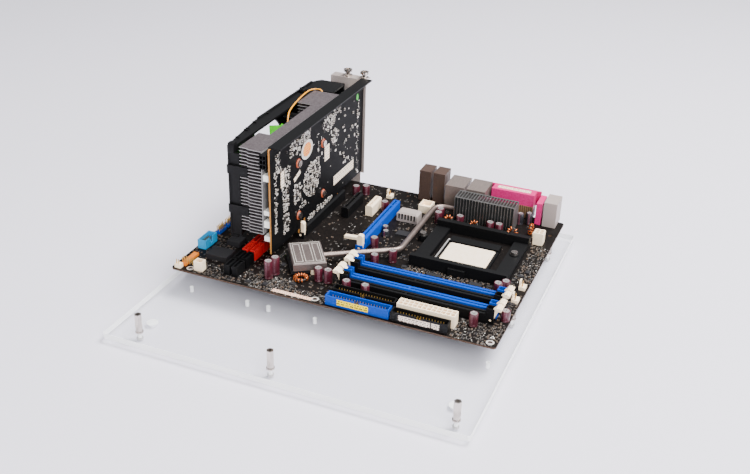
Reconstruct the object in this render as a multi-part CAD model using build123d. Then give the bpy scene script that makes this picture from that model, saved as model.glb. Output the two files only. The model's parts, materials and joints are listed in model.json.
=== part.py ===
from build123d import *
import math
import os

# Open air test bench: a clear acrylic plate on bumper feet, hex standoffs,
# a full size computer board and a graphics card standing in its black slot.
# Millimetres, +Z up. The origin is the middle of the plate at the feet's lowest face.
# +X runs right along the plate's front edge, +Y runs back to the rear ports.

os.makedirs("parts", exist_ok=True)

# Bench plate
PLATE_WIDTH = 325.0
PLATE_DEPTH = 350.0
PLATE_THICK = 5.0
PLATE_CORNER = 1.5
PLATE_HOLE_R = 1.75

# Bumper feet
FOOT_R = 5.2
FOOT_HEIGHT = 3.6
FOOT_TOP_R = 3.2
FOOT_INSET_X = 24.0
FOOT_INSET_Y = 38.0
FOOT_SIDES = 16

# Standoffs and the screws that hold them from below
STANDOFF_HEIGHT = 18.0
STANDOFF_FLATS = 5.5
STANDOFF_BORE_R = 1.3
STANDOFF_BORE_DEPTH = 11.0
STANDOFF_COLLAR_R = 3.6
STANDOFF_COLLAR_HEIGHT = 1.4
SCREW_SHANK_R = 1.25
SCREW_HEAD_R = 2.8
SCREW_HEAD_HEIGHT = 1.9
SCREW_REACH = 6.0
SCREW_PLAY = 0.1
SCREW_END_PLAY = 0.2

# Main board
BOARD_WIDTH = 304.8
BOARD_DEPTH = 243.84
BOARD_THICK = 1.6
BOARD_CORNER = 2.0
BOARD_HOLE_R = 2.0
BOARD_LEFT_MARGIN = 11.0
BOARD_FRONT_MARGIN = 90.5
POST_INSET_RIGHT = 15.55
HOLE_COLUMNS = (16.51, 140.97, PLATE_WIDTH - BOARD_LEFT_MARGIN - POST_INSET_RIGHT)
FRONT_HOLE_ROW = 6.35
MIDDLE_HOLE_ROW = 78.74
REAR_HOLE_ROW = 233.68
REAR_RIGHT_HOLE = (HOLE_COLUMNS[2], 210.82)
LARGE_BOARD_ROW = -76.2
SMALL_BOARD_COLUMN = 95.25
EXTRA_PLATE_HOLE = (74.0, FRONT_HOLE_ROW)

# Chips: left, front, width, depth, height
CHIP_DRAFT = 0.6
CHIPS = (
    (19.0, 28.4, 22.0, 17.6, 4.6),
    (24.0, 58.4, 13.6, 14.0, 4.6),
    (60.0, 84.0, 9.0, 9.0, 1.4),
    (160.0, 146.0, 14.0, 10.0, 1.6),
    (254.0, 84.6, 12.0, 6.0, 1.6),
    (214.0, 84.8, 14.0, 5.6, 1.6),
    (4.0, 112.0, 10.0, 10.0, 1.6),
    (2.0, 150.0, 11.0, 12.0, 1.6),
)

# Capacitors: middle and height
MAROON_CANS = (
    (88.0, 21.6, 17.4),
    (90.2, 30.4, 17.4),
    (130.0, 36.6, 13.0),
    (139.2, 37.0, 13.0),
    (160.6, 28.65, 12.0),
    (178.4, 28.65, 12.0),
    (277.9, 25.2, 12.0),
    (300.4, 43.6, 10.0),
    (282.2, 82.0, 12.0),
    (286.8, 91.4, 10.0),
    (151.4, 114.6, 11.0),
    (164.2, 84.2, 11.0),
    (177.2, 96.4, 12.0),
    (189.2, 190.0, 12.0),
    (188.4, 198.6, 12.0),
    (211.2, 191.6, 12.0),
    (242.2, 191.2, 12.0),
    (251.2, 191.4, 12.0),
    (130.6, 192.6, 10.0),
    (89.6, 214.0, 10.0),
    (98.6, 219.0, 10.0),
)
MAROON_CAN_R = 3.9
DARK_CANS = (
    (264.4, 223.0, 12.0),
    (272.2, 227.4, 12.0),
    (148.6, 150.0, 6.0),
    (152.6, 141.0, 6.0),
)
DARK_CAN_R = 3.2
CAN_SIDES = 10

# Coils: middle and ring radius
COIL_SECTION = 2.1
COILS = ((115.5, 30.6, 4.3), (199.8, 189.6, 3.4), (226.4, 189.4, 3.4), (265.0, 190.0, 4.3))
STANDING_COIL = (280.2, 203.6, 4.4)
COIL_SIDES = 10

# Expansion slots
SLOT_PITCH = 20.32
BLUE_SLOT_X = 141.35
SLOT_REAR_Y = 198.0
SLOT_WIDTH = 7.4
SLOT_HEIGHT = 11.2
SLOT_GROOVE = 1.9
SLOT_GROOVE_DEPTH = 8.2
SLOT_CHAMFER = 1.2
LONG_SLOT_LENGTH = 89.0
MID_SLOT_LENGTH = 39.0
SHORT_SLOT_LENGTH = 25.0
SLOT_KEY_FROM_REAR = 13.0
SLOT_KEY_WIDTH = 1.6
SLOT_END_WALL = 1.5
OLD_SLOT_LENGTH = 85.0
OLD_SLOT_WIDTH = 8.6

# Slot clips
CLIP_WIDTH = 6.4
CLIP_DEPTH = 4.6
CLIP_HEIGHT = 16.0
CLIP_PADDLE_REACH = 16.0
CLIP_PIN_R = 1.2
CLIP_PIN_HEIGHT = 3.4
CLIP_EAR_THICK = 1.6
CLIP_EAR_OVER_PIN = 1.4
PIN_END_PLAY = 0.2
CLIP_PLAY = 0.3
PIN_PLAY = 0.05

# Memory slots
MEMORY_LEFT_X = 152.0
MEMORY_LENGTH = 141.0
MEMORY_WIDTH = 6.5
MEMORY_HEIGHT = 8.6
MEMORY_FRONT_Y = 32.8
MEMORY_PAIR_PITCH = 9.5
MEMORY_BANK_PITCH = 23.8
MEMORY_GROOVE = 1.7
MEMORY_GROOVE_DEPTH = 6.0
MEMORY_KEY_SHARE = 0.42
TOWER_LENGTH = 7.3
TOWER_HEIGHT = 14.5
TOWER_CHANNEL = 4.9
TOWER_FLOOR = 0.6
TOWER_INNER_WALL = 1.0

# Memory latches
LATCH_THICK = 4.3
LATCH_HEAD_WIDTH = 7.8
LATCH_PIVOT_X = 3.0
LATCH_PIVOT_Z = 3.4
LATCH_PIN_R = 1.0
LATCH_REST_LEAN = 22.0

# Processor socket, lid and lever
SOCKET_X = 239.0
SOCKET_FRONT_Y = 104.0
SOCKET_WIDTH = 49.0
SOCKET_DEPTH = 46.0
SOCKET_HEIGHT = 4.0
SOCKET_CHAMFER = 0.8
CAM_BOX_DEPTH = 10.0
CAM_BOX_HEIGHT = 6.0
LID_WIDTH = 44.4
LID_DEPTH = 37.2
LID_HEIGHT = 2.5
LID_STEP = 1.2
LID_STEP_HEIGHT = 1.0
LID_BEVEL = 0.5
LID_NOTCH = 1.4
LID_FRONT_GAP = 5.0
LEVER_R = 0.9
LEVER_GAP = 1.4
LEVER_ROD_LENGTH = 24.0
LEVER_ROD_HEIGHT = 3.0
LEVER_SHARE = 0.6
LEVER_TIP_Y = 107.0
LEVER_TIP_LENGTH = 4.0
LEVER_BEND_R = 1.2
LEVER_END_PLAY = 0.3

# Plastic frame round the socket
FRAME_LEFT_X = 193.0
FRAME_RIGHT_X = 285.5
FRAME_FRONT_Y = 97.0
FRAME_REAR_Y = 181.0
FRAME_WALL = 6.0
FRAME_WALL_HEIGHT = 11.0
FRAME_FLANGE = 14.0
FRAME_FLANGE_HEIGHT = 5.0
FRAME_LUG_R = 4.6
FRAME_LUG_HEIGHT = 6.0
FRAME_SCREW_Y = 149.0
FRAME_SCREWS_X = (188.0, 278.6)
FRAME_SCREW_PLAY = 0.3
PAN_HEAD_R = 3.2
PAN_HEAD_HEIGHT = 2.4
DRIVER_LENGTH = 4.0
DRIVER_WIDTH = 0.8
DRIVER_DEPTH = 1.0
FRAME_HOOK_WIDTH = 16.0
FRAME_HOOK_DEPTH = 3.0
FRAME_HOOK_DROP = 4.0

# Heatsinks and the heat pipe
PIPE_R = 2.6
PIPE_HEIGHT = 8.2
PIPE_PLAY = 0.05
PIPE_BEND_R = 12.0
PIPE_SIDES = 10
PIPE_RUN_X = 180.3
PIPE_LEAN = 0.6
PIPE_START = 8.0
PIPE_END = 6.0
PIPE_END_PLAY = 0.3
PIPE_ROW_SHARE = 0.7
REGULATOR_LEFT_X = 202.0
REGULATOR_WIDTH = 61.0
REGULATOR_FRONT_Y = 198.5
REGULATOR_DEPTH = 17.5
REGULATOR_HEIGHT = 27.5
REGULATOR_BASE = 12.0
REGULATOR_LIFT = 2.0
REGULATOR_FOOT = (6.0, 8.0)
REGULATOR_FOOT_INSET = 4.0
REGULATOR_FINS = 21
REGULATOR_FIN = 0.8
REGULATOR_RIM = 1.6
REGULATOR_RIM_HEIGHT = 1.2
CHIPSET_X = 107.9
CHIPSET_Y = 58.8
CHIPSET_TURN = 33.8
CHIPSET_LENGTH = 30.3
CHIPSET_WIDTH = 41.7
CHIPSET_PLATE = 7.0
CHIPSET_TOP = 12.0
CHIPSET_CHIP = 34.0
CHIPSET_CHIP_HEIGHT = 2.4
CHIPSET_BASE = 28.0
CHIPSET_BEVEL = 0.8
CHIPSET_BORE = 40.0

# Drive and power connectors
DRIVE_WIDTH = 58.2
FLOPPY_WIDTH = 50.8
DRIVE_DEPTH = 8.9
DRIVE_HEIGHT = 9.0
DRIVE_WALL = 1.1
DRIVE_FLOOR = 2.4
DRIVE_NOTCH = 4.6
DRIVE_LEFT_X = 152.3
DRIVE_FRONT_Y = 2.6
DRIVE_ROW_PITCH = 13.0
FLOPPY_GAP = 1.6
FLOPPY_FORWARD = 0.4
PIN_PITCH = 2.54
POWER_LEFT_X = 213.8
POWER_FRONT_Y = 12.6
POWER_COLUMNS = 12
POWER_ROWS = 2
POWER_RIM_X = 0.6
POWER_RIM_Y = 0.8
POWER_HEIGHT = 11.6
POWER_PITCH = 4.2
POWER_CELL = 3.3
POWER_CELL_DEPTH = 7.0
POWER_LATCH_DEPTH = 2.6
POWER_LATCH_WIDTH = 9.0
POWER_LATCH_HEIGHT = 4.0
POWER_LATCH_DROP = 7.0
SMALL_POWER_X = 286.6
SMALL_POWER_Y = 186.2
SMALL_POWER_HEIGHT = 12.6
SMALL_LATCH = (1.6, 4.8)
SMALL_LATCH_Y = 2.6

# Small connectors on the left side
SATA_WIDTH = 5.6
SATA_LENGTH = 14.6
SATA_HEIGHT = 10.0
SATA_CAVITY_DEPTH = 6.0
SATA_WALL = 1.1
SATA_TONGUE = 1.2
SATA_TONGUE_SHIFT = 0.3
SATA_TONGUE_DROP = 1.0
SATA_LEFT_X = 49.6
SATA_COLUMN_PITCH = 7.8
SATA_FRONT_Y = 9.5
SATA_ROW_PITCH = 16.8
CYAN_LEFT_X = 2.6
CYAN_FRONT_Y = 42.0
CYAN_LENGTH = 20.3
PANEL_LEFT_X = 5.8
PANEL_FRONT_Y = 7.6
PANEL_COLUMNS = 9
USB_LEFT_X = 2.6
USB_FRONT_YS = (74.0, 90.0)
HEADER_BASE = 2.5
FAN_HEADER_WIDTH = 7.5
FAN_HEADER_DEPTH = 5.8
FAN_HEADER_BASE = 3.2
FAN_HEADER_TAB = 8.6
FAN_HEADER_WALL = 1.1
FAN_HEADER_TAB_INSET = 1.2
FAN_HEADER_PLACES = ((297.2, 97.0), (297.2, 73.0), (121.6, 219.0))

# Small cream parts: left, front, width, depth, height
SMALL_WALL = 1.2
CREAM_BOXES = ((21.4, 4.4, 8.4, 7.0, 9.4), (163.0, 203.2, 12.4, 14.6, 8.0))
CREAM_BOX_FLOOR = 3.4
CREAM_BASE = (3.0, 1.4, 6.0, 5.0, 4.0)
CREAM_STUD = (120.4, 44.2, 1.8, 4.8)
GREY_BLOCK = (149.6, 176.4, 22.0, 13.6, 9.8)
GREY_BLOCK_BEVEL = 2.0

# Rear ports
PORT_REAR_Y = 250.0
TOWER_PORT_WIDTH = 12.4
TOWER_PORT_DEPTH = 19.0
TOWER_PORT_HEIGHT = 33.2
TOWER_PORT_XS = (152.7, 168.0)
TOWER_JACKS = 3
JACK_R = 1.8
JACK_DEPTH = 10.0
LAN_WIDTH = 19.4
LAN_DEPTH = 28.0
LAN_HEIGHT = 27.0
LAN_XS = (184.4, 206.5)
LAN_JACK_WIDTH = 11.8
LAN_JACK_HEIGHT = 8.0
LAN_JACK_DEPTH = 12.0
LAN_ROOF = 1.8
LAN_FLOOR = 1.4
USB_WIDTH = 13.2
USB_HEIGHT = 5.2
USB_DEPTH = 9.0
USB_TONGUE = 1.9
USB_TONGUE_ROOM = 0.8
USB_TONGUE_SIDE = 1.0
USB_PITCH = 7.4
PARALLEL_LEFT_X = 228.6
PARALLEL_WIDTH = 44.0
PARALLEL_DEPTH = 12.0
PARALLEL_HEIGHT = 26.0
PARALLEL_BODY = 10.5
PARALLEL_FLANGE = 53.0
PARALLEL_FLANGE_THICK = 1.6
PARALLEL_NOSE = (38.0, 6.0, 10.5)
PARALLEL_NOSE_RISE = 3.0
AV_LEFT_X = 277.6
AV_WIDTH = 5.8
AV_DEPTH = 21.0
AV_HEIGHT = 23.0
AV_JACK_R = 1.6
AV_JACK_DEPTH = 6.0
AV_JACK_DROP = 5.0
KEYBOARD_LEFT_X = 285.4
KEYBOARD_WIDTH = 13.2
KEYBOARD_DEPTH = 22.0
KEYBOARD_HEIGHT = 26.0
MINI_DIN_R = 4.4
MINI_DIN_DEPTH = 2.0
MINI_DIN_SHARES = (0.26, 0.74)
MINI_DIN_SIDES = 12

# Graphics card
CARD_X = BLUE_SLOT_X - 3 * SLOT_PITCH
CARD_THICK = 1.6
CARD_FRONT_Y = 41.0
CARD_REAR_Y = 246.9
CARD_BOTTOM_Z = 12.3
CARD_TOP_Z = 114.0
CARD_TAB_END_GAP = 2.0
CARD_KEY_PLAY = 0.4
CARD_NOTCH_LENGTH = 9.0
CARD_NOTCH_HEIGHT = 6.5
CARD_HOOK_WIDTH = 3.0
CARD_HOOK_DEPTH = 5.0
BRACKET_THICK = 0.9
BRACKET_LEFT_X = CARD_X - 36.39
BRACKET_RIGHT_X = CARD_X + 3.41
BRACKET_TOP_Z = 112.6
BRACKET_BOTTOM_Z = 10.0
BRACKET_TONGUE_Z = -3.6
BRACKET_TONGUE_WIDTH = 10.2
BRACKET_TAB_DEPTH = 11.4
BRACKET_TONGUE_INSET = 4.0
BRACKET_VENTS = 5
BRACKET_VENT = (12.0, 10.0)
BRACKET_VENT_PITCH = 16.0
BRACKET_VENT_START = 14.0
BRACKET_WINDOW_PLAY = 0.2
STIFFENER_OVERHANG = 9.3
STIFFENER_THICK = 1.2
STIFFENER_LEG = 9.0
STIFFENER_FRONT_GAP = 3.0
THUMB_XS = (CARD_X - 19.39, CARD_X - 0.79)
THUMB_FROM_BRACKET = 5.6
THUMB_SHANK_R = 1.7
THUMB_SHANK_REACH = 3.0
THUMB_PLAY = 0.2
THUMB_NECK_R = 2.6
THUMB_NECK_HEIGHT = 5.4
THUMB_CROWN_R = 4.6
THUMB_CROWN_HEIGHT = 1.8
THUMB_TEETH = 8
THUMB_TOOTH = 0.7
VIDEO_WIDTH = 15.0
VIDEO_LENGTH = 37.0
VIDEO_DEPTH = 17.0
VIDEO_NOSE = 4.0
VIDEO_WALL = 0.8
VIDEO_WELL_DEPTH = 4.0
VIDEO_NOSE_STEP = 0.5
VIDEO_BOTTOMS = (24.0, 66.0)
GPU_Y = 122.7
GPU_Z = 53.7
GPU_SIZE = 38.0
GPU_HEIGHT = 2.6
COOLER_SCREW_SPACING = 53.3
COOLER_SCREW_HOLE_R = 1.6
CARD_BLOCKS = ((24.0, 5.0), (37.6, 6.4), (50.0, 4.0), (83.0, 6.0))
CARD_BLOCK_SIZE = (6.0, 8.0)
FAN_PLUG_REACH = 6.19
FAN_PLUG = (203.8, 101.0)
FAN_PLUG_SIZE = (4.4, 6.0)

# Graphics card cooler
COOLER_BASE_THICK = 4.0
COOLER_BASE_SIZE = 62.0
COOLER_POST_R = 2.4
COOLER_POST_SINK = 1.0
COOLER_SCREW_GAP = 0.4
FIN_COUNT = 26
FIN_PITCH = 3.2
FIN_THICK = 0.7
FIN_BOTTOM_Z = 30.0
FIN_LEFT_X = CARD_X - 30.39
FIN_FRONT_Y = 42.0
FIN_REAR_Y = 203.4
FIN_STEP_X = CARD_X - 21.69
FIN_STEP = 1.6
FIN_TAB_WALL = 0.8
FIN_WIDE_X = CARD_X - 34.39
RECESS_X = CARD_X - 19.39
RECESS_HALF = 43.0
FAN_Z = 64.0
FAN_R = 38.0
FAN_HUB_R = 18.0
FAN_HUB_WALL = 1.6
FAN_HUB_FACE = 2.0
FAN_HUB_BEVEL = 1.2
FAN_HUB_SIDES = 24
FAN_BOSS_R = 3.2
FAN_BOSS_LENGTH = 5.0
FAN_BOSS_FLOOR = 1.6
FAN_BLADE_ROOT_R = 16.6
FAN_BLADES = 9
FAN_FRONT_X = CARD_X - 42.39
FAN_REAR_X = CARD_X - 26.39
FAN_TIP_INSET = 1.6
MOTOR_R = 13.0
MOTOR_FROM_FAN = 7.0
MOTOR_ARM_X = CARD_X - 22.99
SHAFT_FROM_FAN = 3.0
SHAFT_SIDES = 12
MOTOR_ARM_WIDTH = 5.0
MOTOR_ARM_THICK = 2.0
SHAFT_R = 1.5
SHROUD_X = CARD_X - 49.39
SHROUD_FRONT_X = CARD_X - 42.39
SHROUD_KNEE_Y = 108.0
SHROUD_FRONT_Y = 43.6
SHROUD_REAR_Y = 238.0
SHROUD_BOTTOM_Z = 20.0
SHROUD_TOP_Z = 110.0
SHROUD_WALL = 2.0
SHROUD_LIP = 7.0
SHROUD_HOLE_R = 40.0
SHROUD_BOSS_R = 3.2
SHROUD_BOSS_FROM_HOLE = 9.6
SHROUD_BOSS_SINK = 5.0
SHROUD_END_X = CARD_X - 16.39
SHROUD_END_GAP = 4.0
SHROUD_CORNER = (7.0, 10.0)
SHROUD_NOTCH_Z = 98.4
SHROUD_NOTCH = (8.0, 5.0)
SHROUD_CLIP_ZS = (45.6, 84.0)
SHROUD_CLIP = (20.4, 1.7, 8.3)
SHROUD_CLIP_GAP = 0.2
POWER_PLUG_X = CARD_X - 8.99
POWER_PLUG_DEPTH = 15.0
POWER_PLUG_Z = 95.0
POWER_PLUG_COLUMNS = 3
POWER_PLUG_PLAY = 0.3
POWER_PLUG_CELL = 2.4

# Fan wire: corner points and bend radii
WIRE_R = 0.75
WIRE_SIDES = 6
WIRE_POINTS = (
    (56.2, 122.7, 77.0),
    (56.2, 122.7, 111.6),
    (47.5, 150.0, 111.6),
    (41.2, 197.0, 111.6),
    (46.2, 206.4, 111.6),
    (54.5, 205.2, 111.6),
    (54.5, 205.2, 101.0),
    (73.4, 205.2, 101.0),
)
WIRE_RADII = (6.0, 40.0, 8.0, 4.0, 3.0, 4.0)

# Places that follow from the sizes above
BOARD_LEFT = -PLATE_WIDTH / 2 + BOARD_LEFT_MARGIN
BOARD_FRONT = -PLATE_DEPTH / 2 + BOARD_FRONT_MARGIN
PLATE_BOTTOM = FOOT_HEIGHT
PLATE_TOP = PLATE_BOTTOM + PLATE_THICK
BOARD_BOTTOM = PLATE_TOP + STANDOFF_HEIGHT
BOARD_TOP = BOARD_BOTTOM + BOARD_THICK
CARD_FACE_X = CARD_X - CARD_THICK / 2
CARD_BACK_X = CARD_X + CARD_THICK / 2
CARD_TAB_BOTTOM = SLOT_HEIGHT - SLOT_GROOVE_DEPTH
GPU_FACE_X = CARD_FACE_X - GPU_HEIGHT
FIN_RIGHT_X = GPU_FACE_X - COOLER_BASE_THICK
FAN_Y = GPU_Y
THUMB_Y = CARD_REAR_Y + THUMB_FROM_BRACKET
LEVER_Y = SOCKET_FRONT_Y + SOCKET_DEPTH + CAM_BOX_DEPTH * LEVER_SHARE
POWER_PLUG_WIDTH = 2 * POWER_PITCH - 3 * POWER_RIM_X
MAIN_POWER_DEPTH = POWER_ROWS * POWER_PITCH + 2 * POWER_RIM_Y
MEMORY_ROWS = tuple(
    MEMORY_FRONT_Y + bank * MEMORY_BANK_PITCH + row * MEMORY_PAIR_PITCH
    for bank in range(2)
    for row in range(2)
)


def block(x, y, z, dx, dy, dz):
    """Box with its lowest corner at x, y, z."""
    return Pos(x + dx / 2, y + dy / 2, z + dz / 2) * Box(dx, dy, dz)


def rod(x, y, z, radius, height):
    """Upright cylinder standing on z."""
    return Pos(x, y, z + height / 2) * Cylinder(radius, height)


def rod_x(x, y, z, radius, length):
    """Cylinder along +X that starts at x."""
    return Pos(x + length / 2, y, z) * Rot(0, 90, 0) * Cylinder(radius, length)


def around(radius, sides=8):
    """Corner radius of a many sided hole that a round of this radius fits in."""
    return radius / math.cos(math.pi / sides)


def prism(x, y, z, radius, height, sides=8):
    """Many sided bar standing on z."""
    return Pos(x, y, z) * extrude(RegularPolygon(radius, sides), height)


def prism_x(x, y, z, radius, length, sides=8):
    """Many sided bar along +X that starts at x."""
    return Pos(x, y, z) * Rot(0, 90, 0) * extrude(RegularPolygon(radius, sides), length)


def prism_y(x, y, z, radius, length, sides=8):
    """Many sided bar along +Y that starts at y."""
    return Pos(x, y, z) * Rot(-90, 0, 0) * extrude(RegularPolygon(radius, sides), length)


def bent(points, radii, chords):
    """Path through corner points, each bend made of a few short chords."""
    edges = FilletPolyline(*points, radius=radii).edges()
    places = [edges[0] @ 0]
    for edge in edges:
        steps = 1 if edge.geom_type == GeomType.LINE else chords
        places += [edge @ (step / steps) for step in range(1, steps + 1)]
    return Polyline(*places)


def bar(path, radius, sides):
    """Many sided bar along a path of straight runs, mitred at its corners."""
    start = path.edges()[0]
    section = Plane(origin=start @ 0, z_dir=start % 0) * RegularPolygon(radius, sides)
    return sweep(section, path=path, transition=Transition.RIGHT)


def solids_of(shape):
    """Every solid in a shape or in a list of shapes."""
    if isinstance(shape, (list, tuple)):
        return [solid for item in shape for solid in solids_of(item)]
    return list(shape.solids())


def save(name, shape):
    """Write one node in the part's own frame."""
    found = solids_of(shape)
    body = found[0] if len(found) == 1 else Compound(children=found)
    body.label = name
    export_step(body, os.path.join("parts", name + ".step"))


def save_on_board(name, shape):
    """Write one node that was modelled from the board's front left corner."""
    move = Pos(BOARD_LEFT, BOARD_FRONT, BOARD_TOP)
    save(name, [move * solid for solid in solids_of(shape)])


# Bench


def board_hole_places():
    """The board's nine fixing holes, from its front left corner."""
    places = [(x, y) for x in HOLE_COLUMNS for y in (FRONT_HOLE_ROW, MIDDLE_HOLE_ROW)]
    places += [(x, REAR_HOLE_ROW) for x in HOLE_COLUMNS[:2]]
    places.append(REAR_RIGHT_HOLE)
    return places


def standoff_places():
    """Front row for a deeper board, middle and rear rows under this one."""
    places = [(x, LARGE_BOARD_ROW) for x in HOLE_COLUMNS]
    places += [place for place in board_hole_places() if place[1] != FRONT_HOLE_ROW]
    return places


def small_board_places():
    """Plate holes left free for boards of another size."""
    places = [(SMALL_BOARD_COLUMN, y) for y in (FRONT_HOLE_ROW, MIDDLE_HOLE_ROW, REAR_HOLE_ROW)]
    return places + [EXTRA_PLATE_HOLE]


def cut_corners(width, depth, cut):
    """Rectangle with small cut corners."""
    return chamfer(Rectangle(width, depth).vertices(), cut)


def bench_plate():
    """Clear plate, with round holes under the board's front row and the rest of its grid."""
    outline = cut_corners(PLATE_WIDTH, PLATE_DEPTH, PLATE_CORNER)
    plate = Pos(0, 0, PLATE_BOTTOM) * extrude(outline, PLATE_THICK)
    low = PLATE_BOTTOM - 1
    length = PLATE_THICK + 2
    drills = [
        rod(BOARD_LEFT + x, BOARD_FRONT + FRONT_HOLE_ROW, low, PLATE_HOLE_R, length)
        for x in HOLE_COLUMNS
    ]
    drills += [
        prism(BOARD_LEFT + x, BOARD_FRONT + y, low, around(PLATE_HOLE_R), length)
        for x, y in standoff_places() + small_board_places()
    ]
    return plate - drills


def bumper_feet():
    """Four soft bumpers that narrow downwards."""
    x = PLATE_WIDTH / 2 - FOOT_INSET_X
    y = PLATE_DEPTH / 2 - FOOT_INSET_Y
    top = Pos(0, 0, FOOT_HEIGHT) * RegularPolygon(FOOT_R, FOOT_SIDES)
    foot = loft([RegularPolygon(FOOT_TOP_R, FOOT_SIDES), top])
    return [Pos(sx * x, sy * y, 0) * foot for sx in (-1, 1) for sy in (-1, 1)]


def standoff(bore):
    """Hex post with a collar, its bore from above and the screw's one from below."""
    hexagon = RegularPolygon(STANDOFF_FLATS / 2, 6, major_radius=False)
    post = extrude(hexagon, STANDOFF_HEIGHT)
    post += prism(0, 0, 0, STANDOFF_COLLAR_R, STANDOFF_COLLAR_HEIGHT)
    post -= prism(0, 0, -1, around(SCREW_SHANK_R + SCREW_PLAY, 6), SCREW_REACH + SCREW_END_PLAY + 1, 6)
    return post - bore


def board_standoffs():
    """Front posts with round bores, and the posts that the board covers."""
    floor = STANDOFF_HEIGHT - STANDOFF_BORE_DEPTH
    front = standoff(rod(0, 0, floor, STANDOFF_BORE_R, STANDOFF_BORE_DEPTH + 1))
    covered = standoff(prism(0, 0, floor, around(STANDOFF_BORE_R, 6), STANDOFF_BORE_DEPTH + 1, 6))
    return [
        Pos(BOARD_LEFT + x, BOARD_FRONT + y, PLATE_TOP) * (front if y == LARGE_BOARD_ROW else covered)
        for x, y in standoff_places()
    ]


def standoff_screws():
    """Screws from below that hold the posts on the plate."""
    screw = prism(0, 0, 0, SCREW_SHANK_R, PLATE_THICK + SCREW_REACH, 6)
    screw += prism(0, 0, -SCREW_HEAD_HEIGHT, SCREW_HEAD_R, SCREW_HEAD_HEIGHT)
    return [
        Pos(BOARD_LEFT + x, BOARD_FRONT + y, PLATE_BOTTOM) * screw for x, y in standoff_places()
    ]


# Main board


def main_board():
    """Laminate with its nine fixing holes."""
    outline = cut_corners(BOARD_WIDTH, BOARD_DEPTH, BOARD_CORNER)
    board = Pos(BOARD_WIDTH / 2, BOARD_DEPTH / 2, -BOARD_THICK) * extrude(outline, BOARD_THICK)
    drills = [
        prism(x, y, -BOARD_THICK - 1, around(BOARD_HOLE_R), BOARD_THICK + 2)
        for x, y in board_hole_places()
    ]
    return board - drills


def chip(x, y, width, depth, height):
    """Moulded chip: a low block with drafted sides."""
    base = Rectangle(width, depth)
    top = Pos(0, 0, height) * Rectangle(width - CHIP_DRAFT, depth - CHIP_DRAFT)
    return Pos(x + width / 2, y + depth / 2, 0) * loft([base, top])


def board_chips():
    """Flat chips, and the turned one under the chipset heatsink."""
    square = Rectangle(CHIPSET_CHIP, CHIPSET_CHIP)
    turned = Rot(0, 0, CHIPSET_TURN) * extrude(square, CHIPSET_CHIP_HEIGHT)
    return [chip(*place) for place in CHIPS] + [Pos(CHIPSET_X, CHIPSET_Y, 0) * turned]


def cans(places, radius):
    """Upright capacitor cans."""
    return [prism(x, y, 0, radius, height, CAN_SIDES) for x, y, height in places]


def ring(radius):
    """Flat lying ring core of a coil."""
    height = 2 * COIL_SECTION
    outer = prism(0, 0, 0, radius + COIL_SECTION, height, COIL_SIDES)
    return outer - prism(0, 0, -1, radius - COIL_SECTION, height + 2, COIL_SIDES)


def copper_coils():
    """Four flat coils and one that stands on its edge."""
    flat = [Pos(x, y, 0) * ring(radius) for x, y, radius in COILS]
    x, y, radius = STANDING_COIL
    apothem = (radius + COIL_SECTION) * math.cos(math.pi / COIL_SIDES)
    turn = Rot(0, 90, 0) * Rot(0, 0, 180 / COIL_SIDES)
    upright = Pos(x - COIL_SECTION, y, apothem) * turn * ring(radius)
    return flat + [upright]


# Memory slots and latches


def memory_tower():
    """End tower with its outer face at x = 0, open to the outside and the top."""
    tower = block(0, 0, 0, TOWER_LENGTH, MEMORY_WIDTH, TOWER_HEIGHT)
    side = (MEMORY_WIDTH - TOWER_CHANNEL) / 2
    channel = TOWER_LENGTH - TOWER_INNER_WALL
    tower -= block(-1, side, TOWER_FLOOR, channel + 1, TOWER_CHANNEL, TOWER_HEIGHT)
    groove_y = (MEMORY_WIDTH - MEMORY_GROOVE) / 2
    groove_z = MEMORY_HEIGHT - MEMORY_GROOVE_DEPTH
    tower -= block(channel - 1, groove_y, groove_z, TOWER_INNER_WALL + 2, MEMORY_GROOVE, TOWER_HEIGHT)
    bore_r = around(LATCH_PIN_R + PIN_PLAY, 6)
    return tower - prism_y(LATCH_PIVOT_X, -1, LATCH_PIVOT_Z, bore_r, MEMORY_WIDTH + 2, 6)


def memory_slot():
    """One slot with its left outer face at x = 0 and its front face at y = 0."""
    span = MEMORY_LENGTH - 2 * TOWER_LENGTH
    body = block(TOWER_LENGTH, 0, 0, span, MEMORY_WIDTH, MEMORY_HEIGHT)
    groove_y = (MEMORY_WIDTH - MEMORY_GROOVE) / 2
    floor = MEMORY_HEIGHT - MEMORY_GROOVE_DEPTH
    body -= block(TOWER_LENGTH - 1, groove_y, floor, span + 2, MEMORY_GROOVE, MEMORY_HEIGHT)
    key_x = TOWER_LENGTH + span * MEMORY_KEY_SHARE
    body += block(key_x, groove_y, floor, SLOT_KEY_WIDTH, MEMORY_GROOVE, MEMORY_GROOVE_DEPTH)
    left = memory_tower()
    right = Pos(MEMORY_LENGTH, 0, 0) * mirror(left, Plane.YZ)
    return left + body + right


def memory_slots(rows):
    """Slots of one colour."""
    slot = memory_slot()
    return [Pos(MEMORY_LEFT_X, row, 0) * slot for row in rows]


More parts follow.
